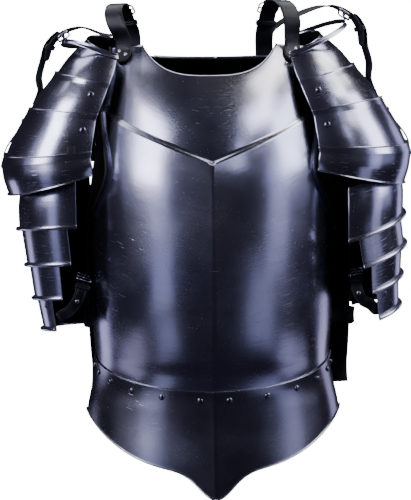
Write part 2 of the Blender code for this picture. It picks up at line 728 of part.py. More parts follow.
# Width directions of the hangers' upper ends, and of the billets where they run out to them
HANGER_SLANT = {"left": (-0.32, 0.95, 0.0), "right": (-0.32, 0.95, 0.0)}
BILLET_SLANT = {"left": (0.0, 0.88, 0.42), "right": (0.0, 0.97, 0.20)}
# The arm straps, from inside the lowest lame's front edge round to its rear edge
ARM_ROUTES = {
    "left": [Point(0.63812, -0.0520, -0.3830), Point(0.59751, -0.0580, -0.3735),
             Point(0.57845, -0.0540, -0.3574), Point(0.58066, -0.0420, -0.3419),
             Point(0.59392, -0.0150, -0.3350), Point(0.61050, 0.0220, -0.3500)],
    "right": [Point(0.60497, -0.0520, -0.3925), Point(0.56906, -0.0580, -0.3840),
              Point(0.53867, -0.0620, -0.3700), Point(0.51934, -0.0580, -0.3520),
              Point(0.52486, -0.0260, -0.3360), Point(0.53867, 0.0140, -0.3560)],
}


def shoulder_strap(group, side):
    """From the outside of the breastplate's tab, over the shoulder, to the backplate's tab."""
    lift = CURVED_LIFT + STRAP_THICK / 2
    foot = SHOULDER_FOOT[side.name] * CHEST_WIDTH
    feet = [seat_at(breast_rows(), 0, down, foot) for down in (0.75, 0.45, 0.12)]
    heels = back_seats(side, (0.06, 0.28, 0.55))
    points = [point + normal * lift for point, normal, _ in feet]
    points += chest_route(SHOULDER_ROUTES[side.name])
    points += [point - normal * lift for point, normal, _ in heels]
    middle = np.array([0.80, 0.30, 0.0])
    across = [feet[0][2]] * 4 + [middle] * 5 + [heels[0][2]] * 4
    grid = ribbon_grid(on_side(side, points), on_side(side, across), SHOULDER_STRAP_WIDTH, 22)
    sheet_object(f"{side.name}_shoulder_strap", group, [grid], STRAP_THICK, LEATHER, offset=0)
    buckle(f"{side.name}_shoulder_buckle", group, grid, 12, SHOULDER_STRAP_WIDTH, (0, 1, 0.2))


def back_seats(side, downs):
    """Seats on the backplate's shoulder tab, moved as the backplate is."""
    shift = BACK_SHIFT * side.sign
    heel = SHOULDER_HEEL[side.name] * CHEST_WIDTH - shift
    seats = [seat_at(back_rows(), 0, down, heel) for down in downs]
    return [(point + (shift, 0, 0), normal, sideways) for point, normal, sideways in seats]


def hanger(group, side):
    """The strap from the dome up to its buckle, and the billet from the backplate's shoulder."""
    dome = cop_lame_grid(side, 2)
    foot = []
    for down, clear in HANGER_SEATS:
        point, normal = seat_on(dome, 2, HANGER_SPACE, down, 0.5)
        foot.append(point + normal * side.sign * (CURVED_LIFT + STRAP_THICK / 2 + clear))
    flat = dome[2, HANGER_SPACE + 1] - dome[2, HANGER_SPACE]
    flat /= np.linalg.norm(flat)
    climb = on_side(side, dome_route(HANGER_ROUTES[side.name]))
    slant, level = on_side(side, [HANGER_SLANT[side.name], BILLET_SLANT[side.name]])
    across = [flat] * len(foot) + [slant] * len(climb)
    strap = ribbon_grid(foot + climb[::-1], across, HANGER_WIDTH, HANGER_ROWS)
    sheet_object(f"{side.name}_hanger_strap", group, [strap], STRAP_THICK, LEATHER, offset=0)
    lift = CURVED_LIFT * 2 + STRAP_THICK * 1.5
    heels = back_seats(side, (0.50, 0.28))
    points = on_side(side, [point - normal * lift for point, normal, _ in heels])
    points += on_side(side, chest_route(BILLET_ROUTES[side.name]))
    # the billet ends on the hanger's inner face, which is turned to the front
    tail = np.array(climb[:BILLET_REACH])
    along = np.gradient(tail, axis=0)
    outwards = np.cross(along, slant)
    outwards *= side.sign * np.sign(outwards[1, 0])
    outwards /= np.linalg.norm(outwards, axis=1, keepdims=True)
    points += list(tail - outwards * (STRAP_THICK + BILLET_CLEAR))
    heel_way = on_side(side, [-heels[0][2]])
    rising = on_side(side, [(-0.5, 0.9, 0.0)])
    across = heel_way * 2 + rising * 2 + [level] + [slant] * (BILLET_REACH + 1)
    billet = ribbon_grid(points, across, HANGER_WIDTH * 0.9, BILLET_ROWS)
    sheet_object(f"{side.name}_hanger_billet", group, [billet], STRAP_THICK, LEATHER, offset=0)
    buckle(f"{side.name}_hanger_buckle", group, billet, HANGER_BUCKLE_ROW, HANGER_WIDTH,
           (-side.sign, -1, 0), HANGER_BUCKLE_LIFT)


def arm_strap(group, side):
    """The strap that closes the lowest lame around the arm, with its buckle."""
    last = len(ARM_LAMES)
    inset = -(LAME_WALL + CURVED_LIFT + STRAP_THICK / 2) * 1.4
    ring = arm_ring(side, last, ARM_STRAP_PLACE, inset)
    slope = arm_ring(side, last, ARM_STRAP_PLACE - 0.2, inset) - arm_ring(
        side, last, ARM_STRAP_PLACE + 0.2, inset)
    front = [ring[2], ring[1], ring[0]]
    rear = [ring[-1], ring[-2], ring[-3]]
    points = front + on_side(side, chest_route(ARM_ROUTES[side.name])) + rear
    front_way = [unit(slope[index]) for index in (2, 1, 0)]
    rear_way = [unit(slope[index]) for index in (-1, -2, -3)]
    slant, face_on = on_side(side, [(0.80, 0.0, 0.6), (0.97, -0.2, 0.1)])
    across = front_way + [slant, slant, face_on, face_on, slant, slant] + rear_way
    grid = ribbon_grid(points, across, ARM_STRAP_WIDTH, 22)
    sheet_object(f"{side.name}_arm_strap", group, [grid], STRAP_THICK, LEATHER, offset=0)
    buckle(f"{side.name}_arm_buckle", group, grid, 9, ARM_STRAP_WIDTH, (0, -1, 0))


def side_strap(group, side):
    """From inside the breastplate's side edge, past both edges, to the outside of the backplate."""
    shift = np.array([BACK_SHIFT * side.sign, 0, 0])
    inner = PLATE + CURVED_LIFT + STRAP_THICK / 2
    outer = CURVED_LIFT + STRAP_THICK / 2
    starts = side_seats(breast_rows(), -5, 0.5, (0.15, 0.80, 1.0))
    ends = side_seats(back_rows(), -4, 1.0, (1.0, 0.85, 0.20))
    points = [point - normal * inner for point, normal, _ in starts]
    points[-1] = points[-1] + starts[-1][2] * SIDE_STRAP_CLEAR
    others = [point - normal * outer + shift for point, normal, _ in ends]
    others[0] = others[0] + ends[0][2] * SIDE_STRAP_CLEAR
    across = [np.array([0.0, 0.0, 1.0])] * 6
    grid = ribbon_grid(on_side(side, points + others), across, SIDE_STRAP_WIDTH, 14)
    sheet_object(f"{side.name}_side_strap", group, [grid], STRAP_THICK, LEATHER, offset=0)


def side_seats(grid, row, down, places):
    """Seats across the last column of a sheet, with the direction towards its side edge."""
    row = len(grid) + row
    column = grid.shape[1] - 2
    edgewards = unit(grid[row, column + 1] - grid[row, column])
    return [(*seat_on(grid, row, column, down, across), edgewards) for across in places]


def main():
    """Build every sub-part."""
    clear_scene()
    group = new_collection("steel cuirass")
    breastplate(group)
    backplate(group)
    fauld(group)
    rivets = rivet_mesh(RIVET_RADIUS, RIVET_HEIGHT)
    rivets.materials.append(material(STEEL))
    fauld_rivets(group, rivets)
    for side in SIDES:
        lames(group, side)
        cop_rivets(group, side, rivets)
        inner_leathers(group, side)
        shoulder_strap(group, side)
        hanger(group, side)
        arm_strap(group, side)
        side_strap(group, side)


main()
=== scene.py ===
"""Looks of a steel cuirass: fine plates, lames, rivets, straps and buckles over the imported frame.

Metres, +Z up, the front faces -Y and +X is the wearer's left. Every plate, strap and buckle is a
surface worked out on a grid by the same formulas as the solids, at a finer step, and dressed with
procedural materials.
"""

from __future__ import annotations

import logging
import math
from collections.abc import Callable, Sequence
from dataclasses import dataclass
from enum import Enum
from typing import NamedTuple

import bmesh
import bpy
import numpy as np
from mathutils import Matrix, Vector


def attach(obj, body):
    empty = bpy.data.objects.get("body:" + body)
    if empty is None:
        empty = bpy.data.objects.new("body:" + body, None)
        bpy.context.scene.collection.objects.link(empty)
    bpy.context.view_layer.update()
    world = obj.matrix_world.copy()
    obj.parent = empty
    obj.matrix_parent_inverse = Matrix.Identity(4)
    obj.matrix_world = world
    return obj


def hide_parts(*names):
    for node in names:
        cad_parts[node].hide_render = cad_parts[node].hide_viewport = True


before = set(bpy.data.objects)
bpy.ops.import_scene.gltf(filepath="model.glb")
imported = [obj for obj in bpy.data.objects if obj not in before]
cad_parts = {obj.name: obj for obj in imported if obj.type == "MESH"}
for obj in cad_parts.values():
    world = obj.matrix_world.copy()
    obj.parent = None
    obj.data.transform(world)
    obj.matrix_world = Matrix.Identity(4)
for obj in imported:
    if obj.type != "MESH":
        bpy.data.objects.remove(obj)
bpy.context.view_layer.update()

LOG = logging.getLogger("cuirass")
Array = np.ndarray
Colour = tuple[float, float, float]
UP = np.array([0.0, 0.0, 1.0])
LEATHER_THICK = 0.0026
MERGE_DISTANCE = 1e-6
PLATE_CREASE = math.radians(50)
PIECE_CREASE = math.radians(60)


class Slot(Enum):
    """The record's material slots."""

    STEEL = "polished_steel"
    LEATHER = "black_leather"


class Wearer(Enum):
    """The wearer's two sides, as the sign of X."""

    LEFT = 1
    RIGHT = -1

    @property
    def word(self) -> str:
        """The side's name as the nodes have it."""
        return self.name.lower()


class Signal:
    """One output socket of a material's nodes, used in Python expressions."""

    def __init__(self, graph: Graph, socket: bpy.types.NodeSocket) -> None:
        """Keep the socket and the graph that it belongs to."""
        self.graph = graph
        self.socket = socket

    def maths(self, operation: str, *values: float | Signal) -> Signal:
        """Add one Math node.

        Args:
            operation: The Math node's operation.
            values: Its inputs in order.

        Returns:
            The node's value.
        """
        inputs = dict(enumerate(values))
        return self.graph.node("ShaderNodeMath", {"operation": operation}, inputs)

    def __add__(self, other: float | Signal) -> Signal:
        """Sum."""
        return self.maths("ADD", self, other)

    def __sub__(self, other: float | Signal) -> Signal:
        """Difference."""
        return self.maths("SUBTRACT", self, other)

    def __rsub__(self, other: float) -> Signal:
        """Difference from a number."""
        return self.maths("SUBTRACT", other, self)

    def __mul__(self, other: float | Signal) -> Signal:
        """Product."""
        return self.maths("MULTIPLY", self, other)

    __radd__ = __add__
    __rmul__ = __mul__

    def __pow__(self, other: float) -> Signal:
        """Power."""
        return self.maths("POWER", self, other)

    def __abs__(self) -> Signal:
        """Size without sign."""
        return self.maths("ABSOLUTE", self)

    def between(self, low: float, high: float) -> Signal:
        """A smooth step from 0 at low to 1 at high (low may be the larger).

        Args:
            low: Where the step starts.
            high: Where it ends.

        Returns:
            The step.
        """
        settings = {"interpolation_type": "SMOOTHSTEP"}
        inputs = {"Value": self, "From Min": low, "From Max": high}
        return self.graph.node("ShaderNodeMapRange", settings, inputs)


class Graph:
    """The nodes of one material."""

    def __init__(self, name: str) -> None:
        """Start a material with its Principled shader.

        Args:
            name: The material's name.
        """
        self.material = bpy.data.materials.new(name)
        self.material.use_nodes = True
        self.tree = self.material.node_tree
        self.shader = self.tree.nodes["Principled BSDF"]

    def node(
        self,
        kind: str,
        settings: dict[str, object] | None = None,
        inputs: dict[int | str, object] | None = None,
        output: int | str = 0,
    ) -> Signal:
        """Add any node.

        Args:
            kind: The node's type.
            settings: Its own settings, set first.
            inputs: Numbers, tuples or signals for its sockets, by name or index.
            output: Which of its outputs is wanted.

        Returns:
            That output.
        """
        made = self.tree.nodes.new(kind)
        for name, value in (settings or {}).items():
            setattr(made, name, value)
        for name, value in (inputs or {}).items():
            self.feed(made.inputs[name], value)
        return Signal(self, made.outputs[output])

    def feed(self, socket: bpy.types.NodeSocket, value: object) -> None:
        """Link a signal to a socket, or set its number.

        Args:
            socket: The input socket.
            value: A signal, a number or a tuple.
        """
        if isinstance(value, Signal):
            self.tree.links.new(value.socket, socket)
        else:
            socket.default_value = value

    def noise(self, place: Signal, scale: float, detail: float = 2.0, **more: float) -> Signal:
        """Fractal noise from 0 to 1 at a place."""
        inputs = {"Vector": place, "Scale": scale, "Detail": detail, **more}
        return self.node("ShaderNodeTexNoise", None, inputs)

    def stretched(self, place: Signal, scale: Sequence[float], turn: float = 0.0) -> Signal:
        """A place scaled differently along its axes and turned about Z."""
        inputs = {"Vector": place, "Scale": tuple(scale), "Rotation": (0.0, 0.0, turn)}
        return self.node("ShaderNodeMapping", None, inputs)

    def mix(self, factor: Signal, first: Colour | Signal, second: Colour | Signal) -> Signal:
        """A colour between two colours.

        Args:
            factor: Share of the second colour.
            first: Colour at 0.
            second: Colour at 1.

        Returns:
            The mixed colour.
        """
        first, second = (c if isinstance(c, Signal) else (*c, 1.0) for c in (first, second))
        settings = {"data_type": "RGBA"}
        return self.node("ShaderNodeMix", settings, {0: factor, 6: first, 7: second}, 2)

    def bump(self, height: Signal, distance: float, strength: float = 1.0) -> Signal:
        """A normal bent by a height from 0 to 1 that stands for a distance in metres."""
        inputs = {"Height": height, "Distance": distance, "Strength": strength}
        return self.node("ShaderNodeBump", None, inputs)

    def place(self) -> Signal:
        """Object coordinates."""
        return self.node("ShaderNodeTexCoord", output="Object")

    def surface(self) -> Signal:
        """The piece's own UV map: metres along and across."""
        return self.node("ShaderNodeTexCoord", output="UV")

    def axis(self, vector: Signal, name: str) -> Signal:
        """One of the X, Y and Z parts of a vector."""
        return self.node("ShaderNodeSeparateXYZ", None, {"Vector": vector}, name)

    def attribute(self, name: str) -> Signal:
        """A number kept on the mesh's points."""
        return self.node("ShaderNodeAttribute", {"attribute_name": name}, None, "Fac")

    def dress(self, **sockets: object) -> bpy.types.Material:
        """Feed the Principled shader.

        Args:
            sockets: Values by socket name, with _ for a space.

        Returns:
            The material.
        """
        for name, value in sockets.items():
            self.feed(self.shader.inputs[name.replace("_", " ")], value)
        return self.material


@dataclass(frozen=True)
class BuffedSteel:
    """Buffed mild steel: a cold violet-blue tint with warmer clouds, a faint haze, fine buffing
    lines along the plate, stray scratches, and a brighter colour at edges and creases that is
    partly wear where it is handled and partly painted highlight."""

    name: str = "buffed_steel"
    tint: Colour = (0.52, 0.53, 0.72)
    warm: Colour = (0.60, 0.59, 0.68)
    dull: Colour = (0.40, 0.40, 0.56)
    edge: Colour = (0.86, 0.86, 0.94)
    gloss: float = 0.17
    haze: float = 0.09
    waves: float = 0.0010
    cloud_scale: float = 6.0
    smudge_scale: float = 15.0
    wave_scale: float = 13.0
    speck_scale: float = 420.0
    fine_lines: Colour = (14.0, 760.0, 1.0)
    coarse_lines: Colour = (5.0, 170.0, 1.0)
    scratch_lines: Colour = (30.0, 1500.0, 1.0)
    scratch_angle: float = math.radians(24)
    line_depth: float = 0.00007

    def make(self) -> bpy.types.Material:
        """Build the material: noise clouds, stretched noise for lines and scratches, edge wear.

        Returns:
            The material.
        """
        graph = Graph(self.name)
        place, surface = graph.place(), graph.surface()
        cloud = graph.noise(place, self.cloud_scale, 3.0).between(0.36, 0.66)
        smudge = graph.noise(place, self.smudge_scale, 6.0).between(0.30, 0.86)
        lines = graph.noise(graph.stretched(surface, self.fine_lines), 1.0, 4.0)
        coarse = graph.noise(graph.stretched(surface, self.coarse_lines), 1.0, 2.0)
        slanted = graph.stretched(surface, self.scratch_lines, self.scratch_angle)
        where = graph.noise(place, 11.0, 1.0).between(0.50, 0.62)
        scratches = graph.noise(slanted, 1.0, 1.0).between(0.70, 0.76) * where
        spots = graph.noise(place, self.speck_scale, 2.0).between(0.70, 0.78)
        wear = graph.attribute("wear")
        colour = graph.mix(cloud, self.tint, self.warm)
        colour = graph.mix(smudge * 0.35 + spots * 0.35, colour, self.dull)
        # The wear attribute lightens the colour towards the edge colour: partly rubbed edges,
        # partly painted highlight on the breastplate's crease and neck roll.
        colour = graph.mix(wear * 0.85, colour, self.edge)
        rough = self.gloss + smudge * self.haze + lines * 0.07 + scratches * 0.18 + spots * 0.10
        waved = graph.bump(graph.noise(place, self.wave_scale, 1.0), self.waves)
        grain = graph.bump(lines * 0.55 + coarse * 0.7 - scratches * 0.6, self.line_depth)
        graph.feed(grain.socket.node.inputs["Normal"], waved)
        return graph.dress(Base_Color=colour, Metallic=1.0, Roughness=rough, Normal=grain)


@dataclass(frozen=True)
class BlackPaintAndShade:
    """Brushed black paint inside the plates, which also stands for painted shade there: satin,
    uneven, with clouds of dust.
    """

    name: str = "black_paint_and_shade"
    dark: Colour = (0.006, 0.006, 0.008)
    dusty: Colour = (0.020, 0.020, 0.024)
    strokes: Colour = (60.0, 60.0, 9.0)
    dust_scale: float = 18.0
    stroke_depth: float = 0.00025

    def make(self) -> bpy.types.Material:
        """Build the material: long brush strokes as stretched noise, and clouds of dust.

        Returns:
            The material.
        """
        graph = Graph(self.name)
        place = graph.place()
        strokes = graph.noise(graph.stretched(place, self.strokes), 1.0, 4.0)
        dust = graph.noise(place, self.dust_scale, 4.0).between(0.45, 0.75)
        # The near-black colour is partly the paint inside the plates and partly painted shade where
        # little light reaches.
        colour = graph.mix(dust * 0.8, self.dark, self.dusty)
        rough = 0.46 + dust * 0.22 + strokes * 0.10
        normal = graph.bump(strokes, self.stroke_depth)
        return graph.dress(
            Base_Color=colour, Roughness=rough, Normal=normal, Specular_IOR_Level=0.32)


@dataclass(frozen=True)
class BlackLeather:
    """Black dyed strap leather: pebbled grain, a creased line inside each edge, burnished rims,
    and, on a strap that is buckled, a row of punched holes, darkened inside with painted shade."""

    name: str = "strap_leather"
    width: float = 0.022
    dye: Colour = (0.0075, 0.0078, 0.0115)
    worn: Colour = (0.030, 0.031, 0.042)
    crease_inset: float = 0.0028
    holes: bool = False
    hole_pitch: float = 0.020
    hole_radius: float = 0.0019
    hole_shade: Colour = (0.0015, 0.0015, 0.002)
    grain_scale: float = 760.0
    rubbed_scale: float = 55.0
    folds: Colour = (150.0, 40.0, 1.0)
    grain_depth: float = 0.00030

    def make(self) -> bpy.types.Material:
        """Build the material: Voronoi cells for grain, bands across the UV map for the crease.

        Returns:
            The material.
        """
        graph = Graph(self.name)
        place, surface = graph.place(), graph.surface()
        along, across = graph.axis(surface, "X"), abs(graph.axis(surface, "Y"))
        cells = {"Vector": place, "Scale": self.grain_scale, "Randomness": 1.0}
        grain = graph.node("ShaderNodeTexVoronoi", {"feature": "F1"}, cells, "Distance")
        folds = graph.noise(graph.stretched(surface, self.folds), 1.0, 3.0)
        rubbed = graph.noise(place, self.rubbed_scale, 4.0).between(0.45, 0.72)
        inner = self.width / 2 - self.crease_inset
        crease = abs(across - inner).between(0.0007, 0.0001)
        rim = across.between(self.width / 2 - 0.0012, self.width / 2)
        colour = graph.mix(rubbed * 0.35 + rim * 0.55, self.dye, self.worn)
        height = grain * 0.22 + folds * 0.30 - crease * 1.0
        rough = 0.34 + rubbed * 0.16 + grain * 0.10 - rim * 0.08
        if self.holes:
            cell = along.maths("PINGPONG", along, self.hole_pitch / 2)
            ring = (cell ** 2 + across ** 2) ** 0.5
            punched = ring.between(self.hole_radius, self.hole_radius * 0.75)
            # Painted shade: each punched hole is darkened so that it looks deep.
            colour = graph.mix(punched, colour, self.hole_shade)
            height = height - punched * 3.0
            rough = rough + punched * 0.4
        normal = graph.bump(height, self.grain_depth)
        return graph.dress(
            Base_Color=colour, Roughness=rough, Normal=normal, Specular_IOR_Level=0.38,
            Coat_Weight=0.06, Coat_Roughness=0.25)


@dataclass(frozen=True)
class BrightFitting:
    """Nickelled fittings: buckles, prongs and studs, brighter than the plates; rivet heads use
    darker colours."""

    name: str = "bright_fitting"
    colour: Colour = (0.66, 0.66, 0.74)
    tarnish: Colour = (0.36, 0.36, 0.42)
    spot_scale: float = 260.0
    dent_scale: float = 520.0
    dent_depth: float = 0.00008

    def make(self) -> bpy.types.Material:
        """Build the material: fine tarnish spots, and small dents as noise.

        Returns:
            The material.
        """
        graph = Graph(self.name)
        place = graph.place()
        spots = graph.noise(place, self.spot_scale, 3.0).between(0.50, 0.70)
        dents = graph.noise(place, self.dent_scale, 1.0)
        colour = graph.mix(spots * 0.6, self.colour, self.tarnish)
        rough = 0.16 + spots * 0.20
        normal = graph.bump(dents, self.dent_depth)
        return graph.dress(Base_Color=colour, Metallic=1.0, Roughness=rough, Normal=normal)


class Patch(NamedTuple):
    """A grid of points (rows, columns, 3) whose faces point outwards, with wear and painted
    highlight at its points.
    A patch of bare metal has steel on its inner side too, not the black paint that also stands for
    painted shade."""

    points: Array
    wear: Array | None = None
    flat: Array | None = None
    bare: bool = False

    def flattened(self) -> Array:
        """Metres along and across: running lengths of the middle row and column.

        Returns:
            A pair of metres for each point.
        """
        if self.flat is not None:
            return self.flat
        rows, columns = self.points.shape[:2]
        across = running_length(self.points[rows // 2])
        down = running_length(self.points[:, columns // 2])
        return np.stack(np.meshgrid(across, down), axis=-1)

    def mirrored(self) -> Patch:
        """The same patch on the other side of X = 0, its columns reversed.

        Returns:
            The mirror image, its faces still outwards.
        """
        wear = None if self.wear is None else self.wear[:, ::-1]
        points = self.points[:, ::-1] * (-1, 1, 1)
        return Patch(points, wear, self.flattened()[:, ::-1], self.bare)

    def reversed(self) -> Patch:
        """The same patch with its faces turned over."""
        wear = None if self.wear is None else self.wear[:, ::-1]
        return Patch(self.points[:, ::-1], wear, self.flattened()[:, ::-1], self.bare)


def running_length(line: Array) -> Array:
    """Distance along a line of points from its start: the running sum of its steps."""
    steps = np.linalg.norm(np.diff(line, axis=0), axis=-1)
    return np.concatenate([[0.0], np.cumsum(steps)])


def both_halves(half: list[Patch]) -> list[Patch]:
    """The half of a symmetric plate and its mirror image."""
    return half + [patch.mirrored() for patch in half]


def signed_power(values: Array, power: float) -> Array:
    """A power of the size that keeps the sign, as a superellipse has it: sign(v) |v|^power."""
    return np.sign(values) * np.abs(values) ** power


def direction(azimuth: float, elevation: float) -> Vector:
    """The way out at angles in degrees: azimuth 0 is the front, 90 the wearer's left.

    Args:
        azimuth: Angle round the object.
        elevation: Angle above the floor.

    Returns:
        A direction of length 1.
    """
    azimuth, elevation = math.radians(azimuth), math.radians(elevation)
    return Vector((math.sin(azimuth) * math.cos(elevation),
                   -math.cos(azimuth) * math.cos(elevation), math.sin(elevation)))


def added(name: str, data: bpy.types.ID) -> bpy.types.Object:
    """A new object of a mesh, lamp or camera, linked to the scene.

    Args:
        name: Its name.
        data: Its mesh, lamp or camera.

    Returns:
        The object.
    """
    made = bpy.data.objects.new(name, data)
    bpy.context.scene.collection.objects.link(made)
    return made


def unit(vectors: Array) -> Array:
    """Vectors divided by their length."""
    vectors = np.asarray(vectors, float)
    return vectors / np.maximum(np.linalg.norm(vectors, axis=-1, keepdims=True), 1e-12)


def smooth(places: Array, values: Array, at: Array) -> Array:
    """A smooth curve through values: the cubic of each space whose slopes are averaged.

    Args:
        places: Where the values are, rising.
        values: The values, in one or more columns.
        at: Where the curve is wanted.

    Returns:
        The curve's values, shaped as at, with the columns last.
    """
    places, values = np.asarray(places, float), np.asarray(values, float)
    slopes = np.gradient(values, places, axis=0)
    at = np.clip(np.asarray(at, float), places[0], places[-1])
    cell = np.clip(np.searchsorted(places, at, side="right") - 1, 0, len(places) - 2)
    width = places[cell + 1] - places[cell]
    t = (at - places[cell]) / width
    if values.ndim > 1:
        extra = (...,) + (None,) * (values.ndim - 1)
        t, width = t[extra], width[extra]
    ends = values[cell] * (1 + 2 * t) * (1 - t) ** 2 + values[cell + 1] * t * t * (3 - 2 * t)
    return ends + width * t * (1 - t) * ((1 - t) * slopes[cell] - t * slopes[cell + 1])


def crowded(count: int, low: float = 0.0, high: float = 1.0) -> Array:
    """Places from low to high that crowd towards both ends, by the cosine."""
    return low + (high - low) * (1 - np.cos(np.linspace(0, math.pi, count))) / 2


def rim_wear(lengths: Array, reach: float = 0.0012) -> Array:
    """Wear that fades from 1 at a sheet's edge: the exponential of distance over reach."""
    return np.exp(-np.asarray(lengths) / reach)


def averaged(vectors: Array, count: int) -> Array:
    """Directions along an edge as a running mean over count neighbours each way.

    Args:
        vectors: The directions in order.
        count: Neighbours each way, 0 for none.

    Returns:
        The smoothed directions.
    """
    if count < 1:
        return vectors
    padded = np.concatenate([vectors[:1]] * count + [vectors] + [vectors[-1:]] * count)
    total = np.cumsum(np.concatenate([np.zeros_like(padded[:1]), padded]), axis=0)
    span = 2 * count + 1
    return unit((total[span:] - total[:-span]) / span)


def rolled(
    edge: Array, inner: Array, radius: float, sign: float, turn: float = 250.0,
    steps: int = 12, soften: int = 0,
) -> Array:
    """Rows that curl an edge outwards: the edge plus radius (normal (1 - cos) + away sin).

    Args:
        edge: The sheet's last row of points.
        inner: The row next to it.
        radius: Radius of the roll in metres.
        sign: 1 or -1, which way the roll goes.
        turn: Angle of the roll in degrees.
        steps: Rows of the roll.
        soften: Neighbours over which the directions are averaged.

    Returns:
        The rows, the edge itself first.
    """
    away = averaged(unit(edge - inner), soften)
    along = averaged(unit(np.gradient(edge, axis=0)), soften)
    normal = unit(sign * np.cross(along, away))
    angles = np.radians(np.linspace(0, turn, steps + 1))[:, None, None]
    return edge + radius * (normal * (1 - np.cos(angles)) + away * np.sin(angles))


def mesh_of(name: str, patches: Sequence[Patch]) -> bpy.types.Object:
    """Join patches into one mesh: cell (r, c) is the quad (r, c), (r+1, c), (r+1, c+1), (r, c+1).

    Args:
        name: The object's name.
        patches: The grids. Points that meet are merged, so seams and poles close.

    Returns:
        The object, at the origin.
    """
    start, cells = 0, []
    for patch in patches:
        rows, columns = patch.points.shape[:2]
        index = np.arange(rows * columns).reshape(rows, columns) + start
        corners = (index[:-1, :-1], index[1:, :-1], index[1:, 1:], index[:-1, 1:])
        cells.append(np.stack(corners, axis=-1).reshape(-1, 4))
        start += rows * columns
    faces = np.concatenate(cells)
    points = np.concatenate([patch.points.reshape(-1, 3) for patch in patches])
    flat = np.concatenate([patch.flattened().reshape(-1, 2) for patch in patches])
    wear = np.concatenate([
        np.zeros(patch.points.shape[:2]).ravel() if patch.wear is None
        else np.broadcast_to(patch.wear, patch.points.shape[:2]).ravel() for patch in patches])
    mesh = bpy.data.meshes.new(name)
    mesh.from_pydata(points.tolist(), [], faces.tolist())
    layer = mesh.uv_layers.new(name="surface")
    layer.data.foreach_set("uv", flat[faces.ravel()].astype(np.float32).ravel())
    finish = np.repeat([2 * patch.bare for patch in patches], [len(cell) for cell in cells])
    mesh.polygons.foreach_set("material_index", finish.astype(np.int32))
    kept = mesh.attributes.new("wear", "FLOAT", "POINT")
    kept.data.foreach_set("value", wear.astype(np.float32))
    work = bmesh.new()
    work.from_mesh(mesh)
    bmesh.ops.remove_doubles(work, verts=work.verts, dist=MERGE_DISTANCE)
    work.to_mesh(mesh)
    work.free()
    mesh.shade_smooth()
    return added(name, mesh)


class Workshop:
    """Makes the finishes once, and finishes, places and reports each piece."""

    def __init__(self) -> None:
        """Make the finishes that every sub-assembly shares."""
        self.steel = BuffedSteel().make()
        self.lame_steel = BuffedSteel(
            "buffed_lame_steel", (0.60, 0.60, 0.80), gloss=0.16, waves=0.0007).make()
        self.paint = BlackPaintAndShade().make()
        # A darker copy of the steel for the fauld: partly its own duller steel, partly painted
        # shade that dims its reflections.
        self.shaded_waist_steel = BuffedSteel(
            "buffed_waist_steel_shaded", (0.34, 0.34, 0.45), (0.39, 0.39, 0.43),
            (0.26, 0.26, 0.34)).make()
        self.fitting = BrightFitting().make()
        self.rivet = BrightFitting("rivet_steel", (0.26, 0.26, 0.32), (0.10, 0.10, 0.13)).make()
        self.leathers: dict[tuple[float, bool], bpy.types.Material] = {}

    def leather(self, width: float, holes: bool = False) -> bpy.types.Material:
        """The leather of a strap of one width, made once.

        Args:
            width: Width in metres.
            holes: True for a strap with punched holes.

        Returns:
            The material.
        """
        key = (round(width, 4), holes)
        if key not in self.leathers:
            name = f"strap_leather_{round(width * 1e4)}{'_punched' if holes else ''}"
            self.leathers[key] = BlackLeather(name, width, holes=holes).make()
        return self.leathers[key]

    def sheet(
        self, node: str, patches: Sequence[Patch], wall: float, steel: bpy.types.Material,
    ) -> bpy.types.Object:
        """A plate: an open surface given its wall inwards, steel outside and black paint inside,
        which also stands for painted shade.

        Args:
            node: The CAD node that it stands for.
            patches: Its outer face.
            wall: Thickness in metres.
            steel: The material of its outside and its rim.

        Returns:
            The plate.
        """
        made = mesh_of(f"{node}_plate", patches)
        # Inside each plate: black paint that is partly painted shade.
        for finish in (steel, self.paint, steel, steel):
            made.data.materials.append(finish)
        made.data.set_sharp_from_angle(angle=PLATE_CREASE)
        shell = made.modifiers.new("wall", "SOLIDIFY")
        shell.thickness = wall
        shell.offset = -1
        shell.use_even_offset = True
        shell.material_offset = 1
        shell.material_offset_rim = 0
        return self.hand_over(made, [node])

    def piece(
        self, name: str, patches: Sequence[Patch], finish: bpy.types.Material,
        nodes: Sequence[str] = (),
    ) -> bpy.types.Object:
        """A closed piece of one finish.

        Args:
            name: The object's name.
            patches: Its surface.
            finish: Its material.
            nodes: The CAD nodes that it stands for.

        Returns:
            The piece.
        """
        made = mesh_of(name, patches)
        made.data.materials.append(finish)
        made.data.set_sharp_from_angle(angle=PIECE_CREASE)
        return self.hand_over(made, nodes)

    def hand_over(
        self, made: bpy.types.Object, nodes: Sequence[str]
    ) -> bpy.types.Object:
        """Set a piece on the root body and the nodes that it stands for.

        Args:
            made: The piece.
            nodes: The CAD nodes that it stands for.

        Returns:
            The same piece.
        """
        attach(made, "root")
        if nodes:
            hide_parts(*nodes)
        LOG.info("%s: %d faces, for %s", made.name, len(made.data.polygons), ", ".join(nodes))
        return made


@dataclass(frozen=True)
class RivetHead:
    """A hammered round head: a low dome with a small flat on top and a fine foot."""

    radius: float = 0.0042
    height: float = 0.0026
    lift: float = 0.0002
    segments: int = 28

    def patch(self, seat: Array, normal: Array) -> Patch:
        """Turn the profile about the normal: radius (cos, sin) across and height along it.

        Args:
            seat: Where the head stands.
            normal: Which way it faces.

        Returns:
            The closed head, its poles on its axis.
        """
        swing = np.linspace(0, math.pi / 2, 8)
        out = np.concatenate([[0.0, 0.30], 0.30 + 0.66 * np.sin(swing[1:]), [1.0, 1.0, 0.0]])
        rise = np.concatenate([[1.0, 0.99], 0.26 + 0.73 * np.cos(swing[1:]), [0.16, 0.0, 0.0]])
        normal = unit(normal)
        side = unit(np.cross(normal, (0.31, 0.22, 0.93)))
        other = np.cross(normal, side)
        around = np.linspace(0, 2 * math.pi, self.segments + 1)[None, :, None]
        spoke = np.cos(around) * side + np.sin(around) * other
        points = seat + normal * self.lift
        points = points + spoke * (out * self.radius)[:, None, None]
        points = points + normal * (rise * self.height)[:, None, None]
        return Patch(points)


